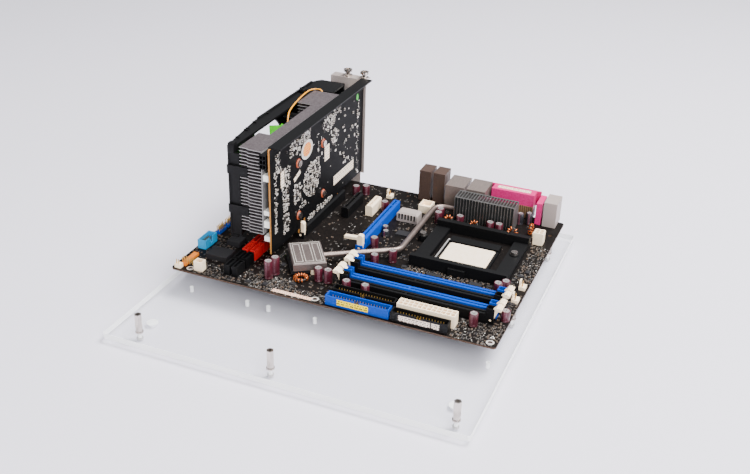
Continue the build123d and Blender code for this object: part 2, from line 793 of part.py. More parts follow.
def memory_latch():
    """Latch of a left tower, from its pivot, leaning outwards as at rest."""
    stem = Polyline(
        (-2.1, -2.0),
        (2.0, -2.2),
        (2.4, -0.4),
        (1.2, 1.2),
        (1.2, 8.4),
        (2.6, 9.6),
        (1.6, 12.0),
        (-2.1, 12.0),
        close=True,
    )
    stem_plate = extrude(Plane.XZ * make_face(stem), LATCH_THICK / 2, both=True)
    head = Polyline(
        (-2.1, 12.0),
        (1.6, 12.0),
        (0.9, 14.2),
        (-1.2, 15.6),
        (-2.2, 14.9),
        (-2.9, 15.7),
        (-4.0, 15.0),
        (-3.5, 14.0),
        (-4.2, 13.2),
        (-3.2, 12.6),
        close=True,
    )
    head_plate = extrude(Plane.XZ * make_face(head), LATCH_HEAD_WIDTH / 2, both=True)
    latch = stem_plate + head_plate
    pin_length = MEMORY_WIDTH - 2 * PIN_END_PLAY
    latch += prism_y(0, -pin_length / 2, 0, LATCH_PIN_R, pin_length, 6)
    return Rot(0, -LATCH_REST_LEAN, 0) * latch


def place_latches():
    """Write the two latches of each slot, each in its own node."""
    left = memory_latch()
    right = mirror(left, Plane.YZ)
    for index, row in enumerate(MEMORY_ROWS, start=1):
        y = row + MEMORY_WIDTH / 2
        left_x = MEMORY_LEFT_X + LATCH_PIVOT_X
        right_x = MEMORY_LEFT_X + MEMORY_LENGTH - LATCH_PIVOT_X
        save_on_board(f"memory_latch_left_{index}", Pos(left_x, y, LATCH_PIVOT_Z) * left)
        save_on_board(f"memory_latch_right_{index}", Pos(right_x, y, LATCH_PIVOT_Z) * right)


# Expansion slots and their clips


def edge_slot(length):
    """Slot with its rear end at y = 0, its groove and its key."""
    body = block(-SLOT_WIDTH / 2, -length, 0, SLOT_WIDTH, length, SLOT_HEIGHT)
    body = chamfer(body.edges().filter_by(Axis.Y).group_by(Axis.Z)[-1], SLOT_CHAMFER)
    left = -SLOT_GROOVE / 2
    floor = SLOT_HEIGHT - SLOT_GROOVE_DEPTH
    depth = SLOT_GROOVE_DEPTH + 1
    front = -length + SLOT_END_WALL
    groove = block(left, front, floor, SLOT_GROOVE, length - 2 * SLOT_END_WALL, depth)
    key_y = -SLOT_KEY_FROM_REAR - SLOT_KEY_WIDTH
    return body - (groove - block(left, key_y, floor, SLOT_GROOVE, SLOT_KEY_WIDTH, depth))


def clip_ears():
    """Two ears on the front end of a long slot that hold the clip's pin."""
    gap = CLIP_WIDTH + 2 * CLIP_PLAY
    height = CLIP_PIN_HEIGHT + CLIP_PIN_R + CLIP_EAR_OVER_PIN
    depth = CLIP_DEPTH + 2 * CLIP_PLAY
    length = 2 * CLIP_EAR_THICK + depth
    ears = block(-gap / 2, 0, 0, gap, length, height)
    ears -= block(-gap / 2 - 1, CLIP_EAR_THICK, CLIP_EAR_THICK / 2, gap + 2, depth, height)
    return ears - prism_y(0, -1, CLIP_PIN_HEIGHT, around(CLIP_PIN_R + PIN_PLAY), length + 2)


def long_slot():
    """Long slot with the ears for its clip in front of it."""
    depth = CLIP_DEPTH + 2 * CLIP_PLAY + 2 * CLIP_EAR_THICK
    return edge_slot(LONG_SLOT_LENGTH) + Pos(0, -LONG_SLOT_LENGTH - depth, 0) * clip_ears()


def slot_clip():
    """Clip from its pin: an upright arm with a hook and a paddle to the left."""
    low = -CLIP_PIN_R - 0.4
    outline = Polyline(
        (-2.2, low),
        (2.2, low),
        (2.8, 3.0),
        (2.8, CLIP_HEIGHT - 5.0),
        (1.6, CLIP_HEIGHT - CLIP_PIN_HEIGHT),
        (-1.6, CLIP_HEIGHT - CLIP_PIN_HEIGHT),
        (-2.8, CLIP_HEIGHT - 6.0),
        (-CLIP_PADDLE_REACH, CLIP_HEIGHT - 7.2),
        (-CLIP_PADDLE_REACH, CLIP_HEIGHT - 9.6),
        (-2.8, CLIP_HEIGHT - 8.8),
        close=True,
    )
    arm = extrude(Plane.XZ * make_face(outline), CLIP_DEPTH / 2, both=True)
    pin_length = CLIP_DEPTH + 2 * CLIP_PLAY + 2 * CLIP_EAR_THICK - 2 * PIN_END_PLAY
    return arm + prism_y(0, -pin_length / 2, 0, CLIP_PIN_R, pin_length)


def clip_place(slot_x):
    """Where a long slot holds its clip's pin."""
    y = SLOT_REAR_Y - LONG_SLOT_LENGTH - CLIP_DEPTH / 2 - CLIP_PLAY - CLIP_EAR_THICK
    return Pos(slot_x, y, CLIP_PIN_HEIGHT)


def old_slot(x):
    """Parallel expansion slot with a plain groove."""
    front = SLOT_REAR_Y - OLD_SLOT_LENGTH
    body = block(x - OLD_SLOT_WIDTH / 2, front, 0, OLD_SLOT_WIDTH, OLD_SLOT_LENGTH, SLOT_HEIGHT)
    length = OLD_SLOT_LENGTH - 2 * SLOT_END_WALL
    floor = SLOT_HEIGHT - SLOT_GROOVE_DEPTH
    left = x - SLOT_GROOVE / 2
    return body - block(left, front + SLOT_END_WALL, floor, SLOT_GROOVE, length, SLOT_GROOVE_DEPTH + 1)


def cream_slots():
    """The short slot and the three old ones."""
    short = Pos(BLUE_SLOT_X - SLOT_PITCH, SLOT_REAR_Y, 0) * edge_slot(SHORT_SLOT_LENGTH)
    return [short] + [old_slot(CARD_X - step * SLOT_PITCH) for step in (1, 2, 3)]


def black_slots():
    """The card's long slot and the middle one."""
    long = Pos(CARD_X, SLOT_REAR_Y, 0) * long_slot()
    middle = Pos(BLUE_SLOT_X - 2 * SLOT_PITCH, SLOT_REAR_Y, 0) * edge_slot(MID_SLOT_LENGTH)
    return [long, middle]


def blue_slot():
    return Pos(BLUE_SLOT_X, SLOT_REAR_Y, 0) * long_slot()


# Processor socket


def processor_socket():
    """Low socket with the cam box that the lever's rod runs through."""
    left = SOCKET_X - SOCKET_WIDTH / 2
    base = block(left, SOCKET_FRONT_Y, 0, SOCKET_WIDTH, SOCKET_DEPTH, SOCKET_HEIGHT)
    base = chamfer(base.edges().group_by(Axis.Z)[-1], SOCKET_CHAMFER)
    cam = block(left, SOCKET_FRONT_Y + SOCKET_DEPTH, 0, SOCKET_WIDTH, CAM_BOX_DEPTH, CAM_BOX_HEIGHT)
    cam = chamfer(cam.edges().filter_by(Axis.X).group_by(Axis.Z)[-1], SOCKET_CHAMFER)
    length = LEVER_ROD_LENGTH + LEVER_END_PLAY + 1
    return base + cam - prism_x(left - 1, LEVER_Y, LEVER_ROD_HEIGHT, around(LEVER_R + PIN_PLAY), length)


def processor_lid():
    """Metal lid on its thin carrier, with a small notch at each side."""
    front = SOCKET_FRONT_Y + LID_FRONT_GAP
    left = SOCKET_X - LID_WIDTH / 2
    carrier = block(left, front, SOCKET_HEIGHT, LID_WIDTH, LID_DEPTH, LID_STEP_HEIGHT)
    width = LID_WIDTH - 2 * LID_STEP
    depth = LID_DEPTH - 2 * LID_STEP
    lid = block(left + LID_STEP, front + LID_STEP, SOCKET_HEIGHT, width, depth, LID_HEIGHT)
    lid = chamfer(lid.edges().group_by(Axis.Z)[-1], LID_BEVEL)
    notch_y = front + (LID_DEPTH - LID_NOTCH) / 2
    for x in (left + LID_STEP - 1, left + LID_STEP + width - LID_NOTCH + 1):
        lid -= block(x, notch_y, SOCKET_HEIGHT + LID_STEP_HEIGHT, LID_NOTCH, LID_NOTCH, LID_HEIGHT)
    return carrier + lid


def socket_lever():
    """Round wire lever: a rod in the cam box, an arm beside it and a bent tip."""
    side = SOCKET_X - SOCKET_WIDTH / 2
    arm_x = side - LEVER_GAP - LEVER_R
    corners = [
        (side + LEVER_ROD_LENGTH, LEVER_Y, LEVER_ROD_HEIGHT),
        (arm_x, LEVER_Y, LEVER_ROD_HEIGHT),
        (arm_x, LEVER_TIP_Y, LEVER_ROD_HEIGHT),
        (arm_x - LEVER_TIP_LENGTH + LEVER_R, LEVER_TIP_Y, LEVER_ROD_HEIGHT),
    ]
    return bar(bent(corners, LEVER_BEND_R, 2), LEVER_R, 8)


def cooler_frame():
    """Black frame round the socket: two high walls, two low flanges, two lugs."""
    width = FRAME_RIGHT_X - FRAME_LEFT_X
    depth = FRAME_REAR_Y - FRAME_FRONT_Y
    right = FRAME_RIGHT_X - FRAME_FLANGE
    frame = block(FRAME_LEFT_X, FRAME_FRONT_Y, 0, FRAME_FLANGE, depth, FRAME_FLANGE_HEIGHT)
    frame += block(right, FRAME_FRONT_Y, 0, FRAME_FLANGE, depth, FRAME_FLANGE_HEIGHT)
    frame += block(FRAME_LEFT_X, FRAME_FRONT_Y, 0, width, FRAME_WALL, FRAME_WALL_HEIGHT)
    rear = FRAME_REAR_Y - FRAME_WALL
    frame += block(FRAME_LEFT_X, rear, 0, width, FRAME_WALL, FRAME_WALL_HEIGHT)
    middle = (FRAME_LEFT_X + FRAME_RIGHT_X - FRAME_HOOK_WIDTH) / 2
    hook_height = FRAME_WALL_HEIGHT - FRAME_HOOK_DROP
    for y in (FRAME_FRONT_Y - FRAME_HOOK_DEPTH, FRAME_REAR_Y):
        frame += block(middle, y, 0, FRAME_HOOK_WIDTH, FRAME_HOOK_DEPTH, hook_height)
    for x in FRAME_SCREWS_X:
        frame += prism(x, FRAME_SCREW_Y, 0, FRAME_LUG_R, FRAME_LUG_HEIGHT, 12)
        hole_r = around(SCREW_SHANK_R + FRAME_SCREW_PLAY)
        frame -= prism(x, FRAME_SCREW_Y, -1, hole_r, FRAME_WALL_HEIGHT)
    return frame


def pan_screw(shank_length):
    """Pan head screw with a driver slot, its head's seat at z = 0."""
    head = prism(0, 0, 0, PAN_HEAD_R, PAN_HEAD_HEIGHT, 10)
    top = PAN_HEAD_HEIGHT - DRIVER_DEPTH
    head -= block(-DRIVER_LENGTH / 2, -DRIVER_WIDTH / 2, top, DRIVER_LENGTH, DRIVER_WIDTH, DRIVER_DEPTH + 1)
    return head + prism(0, 0, -shank_length, SCREW_SHANK_R, shank_length, 6)


def frame_screws():
    """Two pan head screws in the frame's lugs."""
    screw = pan_screw(FRAME_LUG_HEIGHT - SCREW_END_PLAY)
    return [Pos(x, FRAME_SCREW_Y, FRAME_LUG_HEIGHT) * screw for x in FRAME_SCREWS_X]


# Heatsinks


def pipe_route():
    """Corner points of the heat pipe, from inside the chipset plate to the fins."""
    turn = math.radians(CHIPSET_TURN)
    start_x = CHIPSET_X - PIPE_START * math.cos(turn)
    start_y = CHIPSET_Y - PIPE_START * math.sin(turn)
    corner_y = CHIPSET_Y + (PIPE_RUN_X - CHIPSET_X) * math.tan(turn)
    rear_y = REGULATOR_FRONT_Y + REGULATOR_DEPTH * PIPE_ROW_SHARE
    return [
        (start_x, start_y, PIPE_HEIGHT),
        (PIPE_RUN_X, corner_y, PIPE_HEIGHT),
        (PIPE_RUN_X - PIPE_LEAN, rear_y, PIPE_HEIGHT),
        (REGULATOR_LEFT_X + REGULATOR_WIDTH - PIPE_END, rear_y, PIPE_HEIGHT),
    ]


def heat_pipe():
    """Bent pipe between the two heatsinks."""
    return bar(bent(pipe_route(), PIPE_BEND_R, 5), PIPE_R, PIPE_SIDES)


def regulator_heatsink():
    """Row of upright fins on a base that the heat pipe runs through."""
    left = REGULATOR_LEFT_X
    front = REGULATOR_FRONT_Y
    top = REGULATOR_BASE + REGULATOR_LIFT
    sink = block(left, front, REGULATOR_LIFT, REGULATOR_WIDTH, REGULATOR_DEPTH, REGULATOR_BASE)
    pitch = (REGULATOR_WIDTH - REGULATOR_FIN) / (REGULATOR_FINS - 1)
    fin = block(left, front, top, REGULATOR_FIN, REGULATOR_DEPTH, REGULATOR_HEIGHT - top)
    sink += [Pos(index * pitch, 0, 0) * fin for index in range(REGULATOR_FINS)]
    rim_z = REGULATOR_HEIGHT - REGULATOR_RIM_HEIGHT
    for y in (front, front + REGULATOR_DEPTH - REGULATOR_RIM):
        sink += block(left, y, rim_z, REGULATOR_WIDTH, REGULATOR_RIM, REGULATOR_RIM_HEIGHT)
    foot_width, foot_depth = REGULATOR_FOOT
    for x in (left, left + REGULATOR_WIDTH - foot_width):
        sink += block(x, front + REGULATOR_FOOT_INSET, 0, foot_width, foot_depth, REGULATOR_LIFT)
    bore_r = around(PIPE_R + PIPE_PLAY, PIPE_SIDES)
    length = REGULATOR_WIDTH - PIPE_END + PIPE_END_PLAY + 1
    return sink - prism_x(left - 1, pipe_route()[-1][1], PIPE_HEIGHT, bore_r, length, PIPE_SIDES)


def chipset_heatsink():
    """Flat plate on the chipset, turned on the board, with the pipe in it."""
    length = CHIPSET_LENGTH
    width = CHIPSET_WIDTH
    low = CHIPSET_TOP - CHIPSET_PLATE
    plate = block(-length / 2, -width / 2, low, length, width, CHIPSET_PLATE)
    plate = chamfer(plate.edges().group_by(Axis.Z)[-1], CHIPSET_BEVEL)
    half = CHIPSET_BASE / 2
    base_height = low - CHIPSET_CHIP_HEIGHT
    plate += block(-half, -half, CHIPSET_CHIP_HEIGHT, CHIPSET_BASE, CHIPSET_BASE, base_height)
    bore_r = around(PIPE_R + PIPE_PLAY, PIPE_SIDES)
    plate -= prism_x(-PIPE_START - PIPE_END_PLAY, 0, PIPE_HEIGHT, bore_r, CHIPSET_BORE, PIPE_SIDES)
    return Pos(CHIPSET_X, CHIPSET_Y, 0) * Rot(0, 0, CHIPSET_TURN) * plate


# Drive and power connectors


def drive_connector(width):
    """Open box header with a notch in its front wall."""
    inner_width = width - 2 * DRIVE_WALL
    inner_depth = DRIVE_DEPTH - 2 * DRIVE_WALL
    box = block(0, 0, 0, width, DRIVE_DEPTH, DRIVE_HEIGHT)
    box -= block(DRIVE_WALL, DRIVE_WALL, DRIVE_FLOOR, inner_width, inner_depth, DRIVE_HEIGHT)
    return box - block((width - DRIVE_NOTCH) / 2, -1, DRIVE_FLOOR, DRIVE_NOTCH, DRIVE_WALL + 2, DRIVE_HEIGHT)


def blue_drive_connector():
    return Pos(DRIVE_LEFT_X, DRIVE_FRONT_Y, 0) * drive_connector(DRIVE_WIDTH)


def black_drive_connectors():
    """The rear drive connector and the floppy one beside the blue one."""
    rear = Pos(DRIVE_LEFT_X, DRIVE_FRONT_Y + DRIVE_ROW_PITCH, 0) * drive_connector(DRIVE_WIDTH)
    floppy_x = DRIVE_LEFT_X + DRIVE_WIDTH + FLOPPY_GAP
    floppy = Pos(floppy_x, DRIVE_FRONT_Y - FLOPPY_FORWARD, 0) * drive_connector(FLOPPY_WIDTH)
    return [rear, floppy]


def power_housing(columns, rows, height):
    """Power header with a grid of square wells, its corner at the origin."""
    width = columns * POWER_PITCH + 2 * POWER_RIM_X
    depth = rows * POWER_PITCH + 2 * POWER_RIM_Y
    housing = block(0, 0, 0, width, depth, height)
    inset = (POWER_PITCH - POWER_CELL) / 2
    floor = height - POWER_CELL_DEPTH
    for column in range(columns):
        for row in range(rows):
            x = POWER_RIM_X + column * POWER_PITCH + inset
            y = POWER_RIM_Y + row * POWER_PITCH + inset
            housing -= block(x, y, floor, POWER_CELL, POWER_CELL, POWER_CELL_DEPTH + 1)
    return housing


def power_connectors():
    """Main power header with its latch ramp, and the small one by the ports."""
    main = power_housing(POWER_COLUMNS, POWER_ROWS, POWER_HEIGHT)
    latch_x = POWER_RIM_X + (POWER_COLUMNS * POWER_PITCH - POWER_LATCH_WIDTH) / 2
    latch_z = POWER_HEIGHT - POWER_LATCH_DROP
    main += block(
        latch_x, MAIN_POWER_DEPTH, latch_z, POWER_LATCH_WIDTH, POWER_LATCH_DEPTH, POWER_LATCH_HEIGHT
    )
    small = power_housing(2, 2, SMALL_POWER_HEIGHT)
    reach, length = SMALL_LATCH
    small_z = SMALL_POWER_HEIGHT - POWER_LATCH_DROP
    small += block(-reach, SMALL_LATCH_Y, small_z, reach, length, POWER_LATCH_HEIGHT)
    return [
        Pos(POWER_LEFT_X, POWER_FRONT_Y, 0) * main,
        Pos(SMALL_POWER_X, SMALL_POWER_Y, 0) * small,
    ]


# Small connectors


def sata_port():
    """Upright drive port with its tongue, long side along Y."""
    port = block(0, 0, 0, SATA_WIDTH, SATA_LENGTH, SATA_HEIGHT)
    floor = SATA_HEIGHT - SATA_CAVITY_DEPTH
    inner_width = SATA_WIDTH - 2 * SATA_WALL
    inner_length = SATA_LENGTH - 2 * SATA_WALL
    port -= block(SATA_WALL, SATA_WALL, floor, inner_width, inner_length, SATA_HEIGHT)
    tongue_x = (SATA_WIDTH - SATA_TONGUE) / 2 + SATA_TONGUE_SHIFT
    tongue_y = SATA_WALL + SATA_TONGUE
    height = SATA_CAVITY_DEPTH - SATA_TONGUE_DROP
    return port + block(tongue_x, tongue_y, floor, SATA_TONGUE, inner_length - 2 * SATA_TONGUE, height)


def sata_ports(rows):
    """Two columns of upright drive ports in the given rows."""
    port = sata_port()
    return [
        Pos(SATA_LEFT_X + column * SATA_COLUMN_PITCH, SATA_FRONT_Y + row * SATA_ROW_PITCH, 0) * port
        for column in (0, 1)
        for row in rows
    ]


def cyan_header():
    """Open box header with its notch to the right."""
    inner_width = DRIVE_DEPTH - 2 * DRIVE_WALL
    inner_length = CYAN_LENGTH - 2 * DRIVE_WALL
    box = block(0, 0, 0, DRIVE_DEPTH, CYAN_LENGTH, DRIVE_HEIGHT)
    box -= block(DRIVE_WALL, DRIVE_WALL, DRIVE_FLOOR, inner_width, inner_length, DRIVE_HEIGHT)
    notch_y = (CYAN_LENGTH - DRIVE_NOTCH) / 2
    notch_x = DRIVE_DEPTH - DRIVE_WALL - 1
    box -= block(notch_x, notch_y, DRIVE_FLOOR, DRIVE_WALL + 2, DRIVE_NOTCH, DRIVE_HEIGHT)
    return Pos(CYAN_LEFT_X, CYAN_FRONT_Y, 0) * box


def panel_header():
    """Orange base of the front panel pins."""
    return block(PANEL_LEFT_X, PANEL_FRONT_Y, 0, 2 * PIN_PITCH, PANEL_COLUMNS * PIN_PITCH, HEADER_BASE)


def usb_headers():
    """Blue bases of the two bus headers."""
    return [
        block(USB_LEFT_X, y, 0, 2 * PIN_PITCH, 5 * PIN_PITCH, HEADER_BASE) for y in USB_FRONT_YS
    ]


def fan_header():
    """Small pin header with a back tab on its left side, long side along Y."""
    base = block(0, 0, 0, FAN_HEADER_DEPTH, FAN_HEADER_WIDTH, FAN_HEADER_BASE)
    length = FAN_HEADER_WIDTH - 2 * FAN_HEADER_TAB_INSET
    return base + block(0, FAN_HEADER_TAB_INSET, 0, FAN_HEADER_WALL, length, FAN_HEADER_TAB)


def cream_box(x, y, width, depth, height):
    """Small open box."""
    inner_width = width - 2 * SMALL_WALL
    inner_depth = depth - 2 * SMALL_WALL
    well = block(x + SMALL_WALL, y + SMALL_WALL, CREAM_BOX_FLOOR, inner_width, inner_depth, height)
    return block(x, y, 0, width, depth, height) - well


def cream_headers():
    """Fan headers and the other small cream parts."""
    headers = [Pos(x, y, 0) * fan_header() for x, y in FAN_HEADER_PLACES]
    headers += [cream_box(*place) for place in CREAM_BOXES]
    left, front, width, depth, height = CREAM_BASE
    headers.append(block(left, front, 0, width, depth, height))
    x, y, radius, height = CREAM_STUD
    headers.append(prism(x, y, 0, radius, height, 10))
    return headers


def grey_block():
    """Light grey part near the audio ports, with bevelled top edges."""
    left, front, width, depth, height = GREY_BLOCK
    body = block(left, front, 0, width, depth, height)
    return chamfer(body.edges().group_by(Axis.Z)[-1], GREY_BLOCK_BEVEL)


# Rear ports


def audio_towers():
    """Two upright blocks of three round jacks each."""
    towers = []
    front = PORT_REAR_Y - TOWER_PORT_DEPTH
    for x in TOWER_PORT_XS:
        tower = block(x, front, 0, TOWER_PORT_WIDTH, TOWER_PORT_DEPTH, TOWER_PORT_HEIGHT)
        middle = x + TOWER_PORT_WIDTH / 2
        for step in range(TOWER_JACKS):
            z = TOWER_PORT_HEIGHT * (step + 0.5) / TOWER_JACKS
            tower -= prism_y(middle, PORT_REAR_Y - JACK_DEPTH, z, JACK_R, JACK_DEPTH + 1)
        towers.append(tower)
    return towers


def lan_block():
    """Network jack above two bus jacks, open to the rear."""
    box = block(0, -LAN_DEPTH, 0, LAN_WIDTH, LAN_DEPTH, LAN_HEIGHT)
    jack_x = (LAN_WIDTH - LAN_JACK_WIDTH) / 2
    jack_z = LAN_HEIGHT - LAN_JACK_HEIGHT - LAN_ROOF
    box -= block(jack_x, -LAN_JACK_DEPTH, jack_z, LAN_JACK_WIDTH, LAN_JACK_DEPTH + 1, LAN_JACK_HEIGHT)
    x = (LAN_WIDTH - USB_WIDTH) / 2
    tongue_x = x + USB_TONGUE_SIDE
    tongue_width = USB_WIDTH - 2 * USB_TONGUE_SIDE
    for step in range(2):
        z = LAN_FLOOR + step * USB_PITCH
        box -= block(x, -USB_DEPTH, z, USB_WIDTH, USB_DEPTH + 1, USB_HEIGHT)
        tongue_z = z + USB_HEIGHT - USB_TONGUE - USB_TONGUE_ROOM
        box += block(tongue_x, -USB_DEPTH, tongue_z, tongue_width, USB_DEPTH - USB_TONGUE_ROOM, USB_TONGUE)
    return box


def lan_ports():
    """The two network and bus blocks."""
    return [Pos(x, PORT_REAR_Y, 0) * lan_block() for x in LAN_XS]


def parallel_port():
    """Wide port body on a low block, with its flange and nose to the rear."""
    height = PARALLEL_HEIGHT - PARALLEL_BODY
    front = PORT_REAR_Y - PARALLEL_DEPTH
    port = block(PARALLEL_LEFT_X, front, PARALLEL_BODY, PARALLEL_WIDTH, PARALLEL_DEPTH, height)
    middle = PARALLEL_LEFT_X + PARALLEL_WIDTH / 2
    flange_x = middle - PARALLEL_FLANGE / 2
    port += block(flange_x, PORT_REAR_Y, PARALLEL_BODY, PARALLEL_FLANGE, PARALLEL_FLANGE_THICK, height)
    nose_width, nose_depth, nose_height = PARALLEL_NOSE
    nose_z = PARALLEL_BODY + PARALLEL_NOSE_RISE
    return port + block(middle - nose_width / 2, PORT_REAR_Y, nose_z, nose_width, nose_depth, nose_height)


def port_stand():
    """Low black block under the wide port."""
    front = PORT_REAR_Y - PARALLEL_DEPTH
    return block(PARALLEL_LEFT_X, front, 0, PARALLEL_WIDTH, PARALLEL_DEPTH, PARALLEL_BODY)


def av_block():
    """Narrow block with one round jack."""
    body = block(AV_LEFT_X, PORT_REAR_Y - AV_DEPTH, 0, AV_WIDTH, AV_DEPTH, AV_HEIGHT)
    x = AV_LEFT_X + AV_WIDTH / 2
    z = AV_HEIGHT - AV_JACK_DROP
    return body - prism_y(x, PORT_REAR_Y - AV_JACK_DEPTH, z, AV_JACK_R, AV_JACK_DEPTH + 1, 12)


def keyboard_ports():
    """Block of the two round keyboard and mouse jacks."""
    front = PORT_REAR_Y - KEYBOARD_DEPTH
    body = block(KEYBOARD_LEFT_X, front, 0, KEYBOARD_WIDTH, KEYBOARD_DEPTH, KEYBOARD_HEIGHT)
    x = KEYBOARD_LEFT_X + KEYBOARD_WIDTH / 2
    y = PORT_REAR_Y - MINI_DIN_DEPTH
    for share in MINI_DIN_SHARES:
        body -= prism_y(x, y, KEYBOARD_HEIGHT * share, MINI_DIN_R, MINI_DIN_DEPTH + 1, MINI_DIN_SIDES)
    return body


# Graphics card


def card_screw_places():
    """The four screws round the graphics chip, as y and z."""
    half = COOLER_SCREW_SPACING / 2
    return [(GPU_Y + sy * half, GPU_Z + sz * half) for sy in (-1, 1) for sz in (-1, 1)]


def card_board():
    """Upright board with its edge tab in the slot and a hook for the clip."""
    slot_front = SLOT_REAR_Y - LONG_SLOT_LENGTH
    tab_front = slot_front + CARD_TAB_END_GAP
    tab_rear = SLOT_REAR_Y - CARD_TAB_END_GAP
    key_front = SLOT_REAR_Y - SLOT_KEY_FROM_REAR - SLOT_KEY_WIDTH - CARD_KEY_PLAY
    key_rear = SLOT_REAR_Y - SLOT_KEY_FROM_REAR + CARD_KEY_PLAY
    notch_rear = slot_front + CARD_KEY_PLAY
    hook_rear = notch_rear - CARD_NOTCH_LENGTH
    hook_front = hook_rear - CARD_HOOK_WIDTH
    hook_bottom = CARD_BOTTOM_Z - CARD_HOOK_DEPTH
    notch_top = CARD_BOTTOM_Z + CARD_NOTCH_HEIGHT
    outline = Polyline(
        (CARD_FRONT_Y, CARD_BOTTOM_Z),
        (hook_front, CARD_BOTTOM_Z),
        (hook_front, hook_bottom),
        (hook_rear, hook_bottom),
        (hook_rear, notch_top),
        (notch_rear, notch_top),
        (notch_rear, CARD_BOTTOM_Z),
        (tab_front, CARD_BOTTOM_Z),
        (tab_front, CARD_TAB_BOTTOM),
        (key_front, CARD_TAB_BOTTOM),
        (key_front, CARD_BOTTOM_Z),
        (key_rear, CARD_BOTTOM_Z),
        (key_rear, CARD_TAB_BOTTOM),
        (tab_rear, CARD_TAB_BOTTOM),
        (tab_rear, CARD_BOTTOM_Z),
        (CARD_REAR_Y, CARD_BOTTOM_Z),
        (CARD_REAR_Y, CARD_TOP_Z),
        (CARD_FRONT_Y, CARD_TOP_Z),
        close=True,
    )
    board = Pos(CARD_X, 0, 0) * extrude(Plane.YZ * make_face(outline), CARD_THICK / 2, both=True)
    return board - [
        prism_x(CARD_FACE_X - 1, y, z, around(COOLER_SCREW_HOLE_R), CARD_THICK + 2)
        for y, z in card_screw_places()
    ]


def card_bracket():
    """Two place bracket: a plate with port windows and vents, a tab and a tongue."""
    left = BRACKET_LEFT_X
    width = BRACKET_RIGHT_X - left
    low = BRACKET_BOTTOM_Z
    plate = block(left, CARD_REAR_Y, low, width, BRACKET_THICK, BRACKET_TOP_Z - low)
    cut_y = CARD_REAR_Y - 1
    cut_depth = BRACKET_THICK + 2
    play = BRACKET_WINDOW_PLAY
    nose_left = CARD_FACE_X - VIDEO_WIDTH + VIDEO_NOSE_STEP
    window_width = VIDEO_WIDTH - 4 * VIDEO_NOSE_STEP + 2 * play
    window_height = VIDEO_LENGTH - 2 * VIDEO_NOSE_STEP + 2 * play
    for bottom in VIDEO_BOTTOMS:
        z = bottom + VIDEO_NOSE_STEP - play
        plate -= block(nose_left - play, cut_y, z, window_width, cut_depth, window_height)
    vent_width, vent_height = BRACKET_VENT
    for step in range(BRACKET_VENTS):
        z = low + BRACKET_VENT_START + step * BRACKET_VENT_PITCH
        plate -= block(left + BRACKET_TONGUE_INSET, cut_y, z, vent_width, cut_depth, vent_height)
    right_tongue = BRACKET_RIGHT_X - BRACKET_TONGUE_INSET - BRACKET_TONGUE_WIDTH
    for x in (left + BRACKET_TONGUE_INSET, right_tongue):
        drop = low - BRACKET_TONGUE_Z
        plate += block(x, CARD_REAR_Y, BRACKET_TONGUE_Z, BRACKET_TONGUE_WIDTH, BRACKET_THICK, drop)
    tab = block(left, CARD_REAR_Y, BRACKET_TOP_Z, width, BRACKET_TAB_DEPTH, BRACKET_THICK)
    hole_r = around(THUMB_SHANK_R + THUMB_PLAY)
    return plate + tab - [
        prism(x, THUMB_Y, BRACKET_TOP_Z - 1, hole_r, BRACKET_THICK + 2) for x in THUMB_XS
    ]


def thumb_crown():
    """Toothed outline of a thumb screw's crown."""
    half = 180 / THUMB_TEETH / 2
    corners = []
    for index in range(THUMB_TEETH):
        for offset, radius in ((-half, THUMB_CROWN_R), (half / 2, THUMB_CROWN_R - THUMB_TOOTH)):
            angle = math.radians(360 / THUMB_TEETH * index + offset)
            corners.append((radius * math.cos(angle), radius * math.sin(angle)))
    return make_face(Polyline(*corners, close=True))


def thumb_screws():
    """Two thumb screws with toothed crowns, standing on the bracket's tab."""
    screw = prism(0, 0, 0, THUMB_NECK_R, THUMB_NECK_HEIGHT, 12)
    screw += Pos(0, 0, THUMB_NECK_HEIGHT) * extrude(thumb_crown(), THUMB_CROWN_HEIGHT)
    reach = BRACKET_THICK + THUMB_SHANK_REACH
    screw += prism(0, 0, -reach, THUMB_SHANK_R, reach)
    return [Pos(x, THUMB_Y, BRACKET_TOP_Z + BRACKET_THICK) * screw for x in THUMB_XS]


def card_stiffener():
    """Black angle along the card's top edge."""
    front = CARD_FRONT_Y + STIFFENER_FRONT_GAP
    length = CARD_REAR_Y - front
    left = CARD_FACE_X - STIFFENER_THICK
    right = CARD_BACK_X + STIFFENER_OVERHANG
    flange = block(left, front, CARD_TOP_Z, right - left, length, STIFFENER_THICK)
    return flange + block(left, front, CARD_TOP_Z - STIFFENER_LEG, STIFFENER_THICK, length, STIFFENER_LEG)


def video_ports():
    """Two video connectors behind the card's face, through the bracket."""
    ports = []
    left = CARD_FACE_X - VIDEO_WIDTH
    nose_left = left + VIDEO_NOSE_STEP
    nose_width = VIDEO_WIDTH - 4 * VIDEO_NOSE_STEP
    nose_height = VIDEO_LENGTH - 2 * VIDEO_NOSE_STEP
    well_width = nose_width - 2 * VIDEO_WALL
    well_height = nose_height - 2 * VIDEO_WALL
    well_y = CARD_REAR_Y - VIDEO_WELL_DEPTH
    well_depth = VIDEO_WELL_DEPTH + VIDEO_NOSE + 1
    for bottom in VIDEO_BOTTOMS:
        z = bottom + VIDEO_NOSE_STEP
        port = block(left, CARD_REAR_Y - VIDEO_DEPTH, bottom, VIDEO_WIDTH, VIDEO_DEPTH, VIDEO_LENGTH)
        port += block(nose_left, CARD_REAR_Y, z, nose_width, VIDEO_NOSE, nose_height)
        port -= block(
            nose_left + VIDEO_WALL, well_y, z + VIDEO_WALL, well_width, well_depth, well_height
        )
        ports.append(port)
    return ports


def gpu_chip():
    """The card's graphics chip."""
    half = GPU_SIZE / 2
    return block(GPU_FACE_X, GPU_Y - half, GPU_Z - half, GPU_HEIGHT, GPU_SIZE, GPU_SIZE)


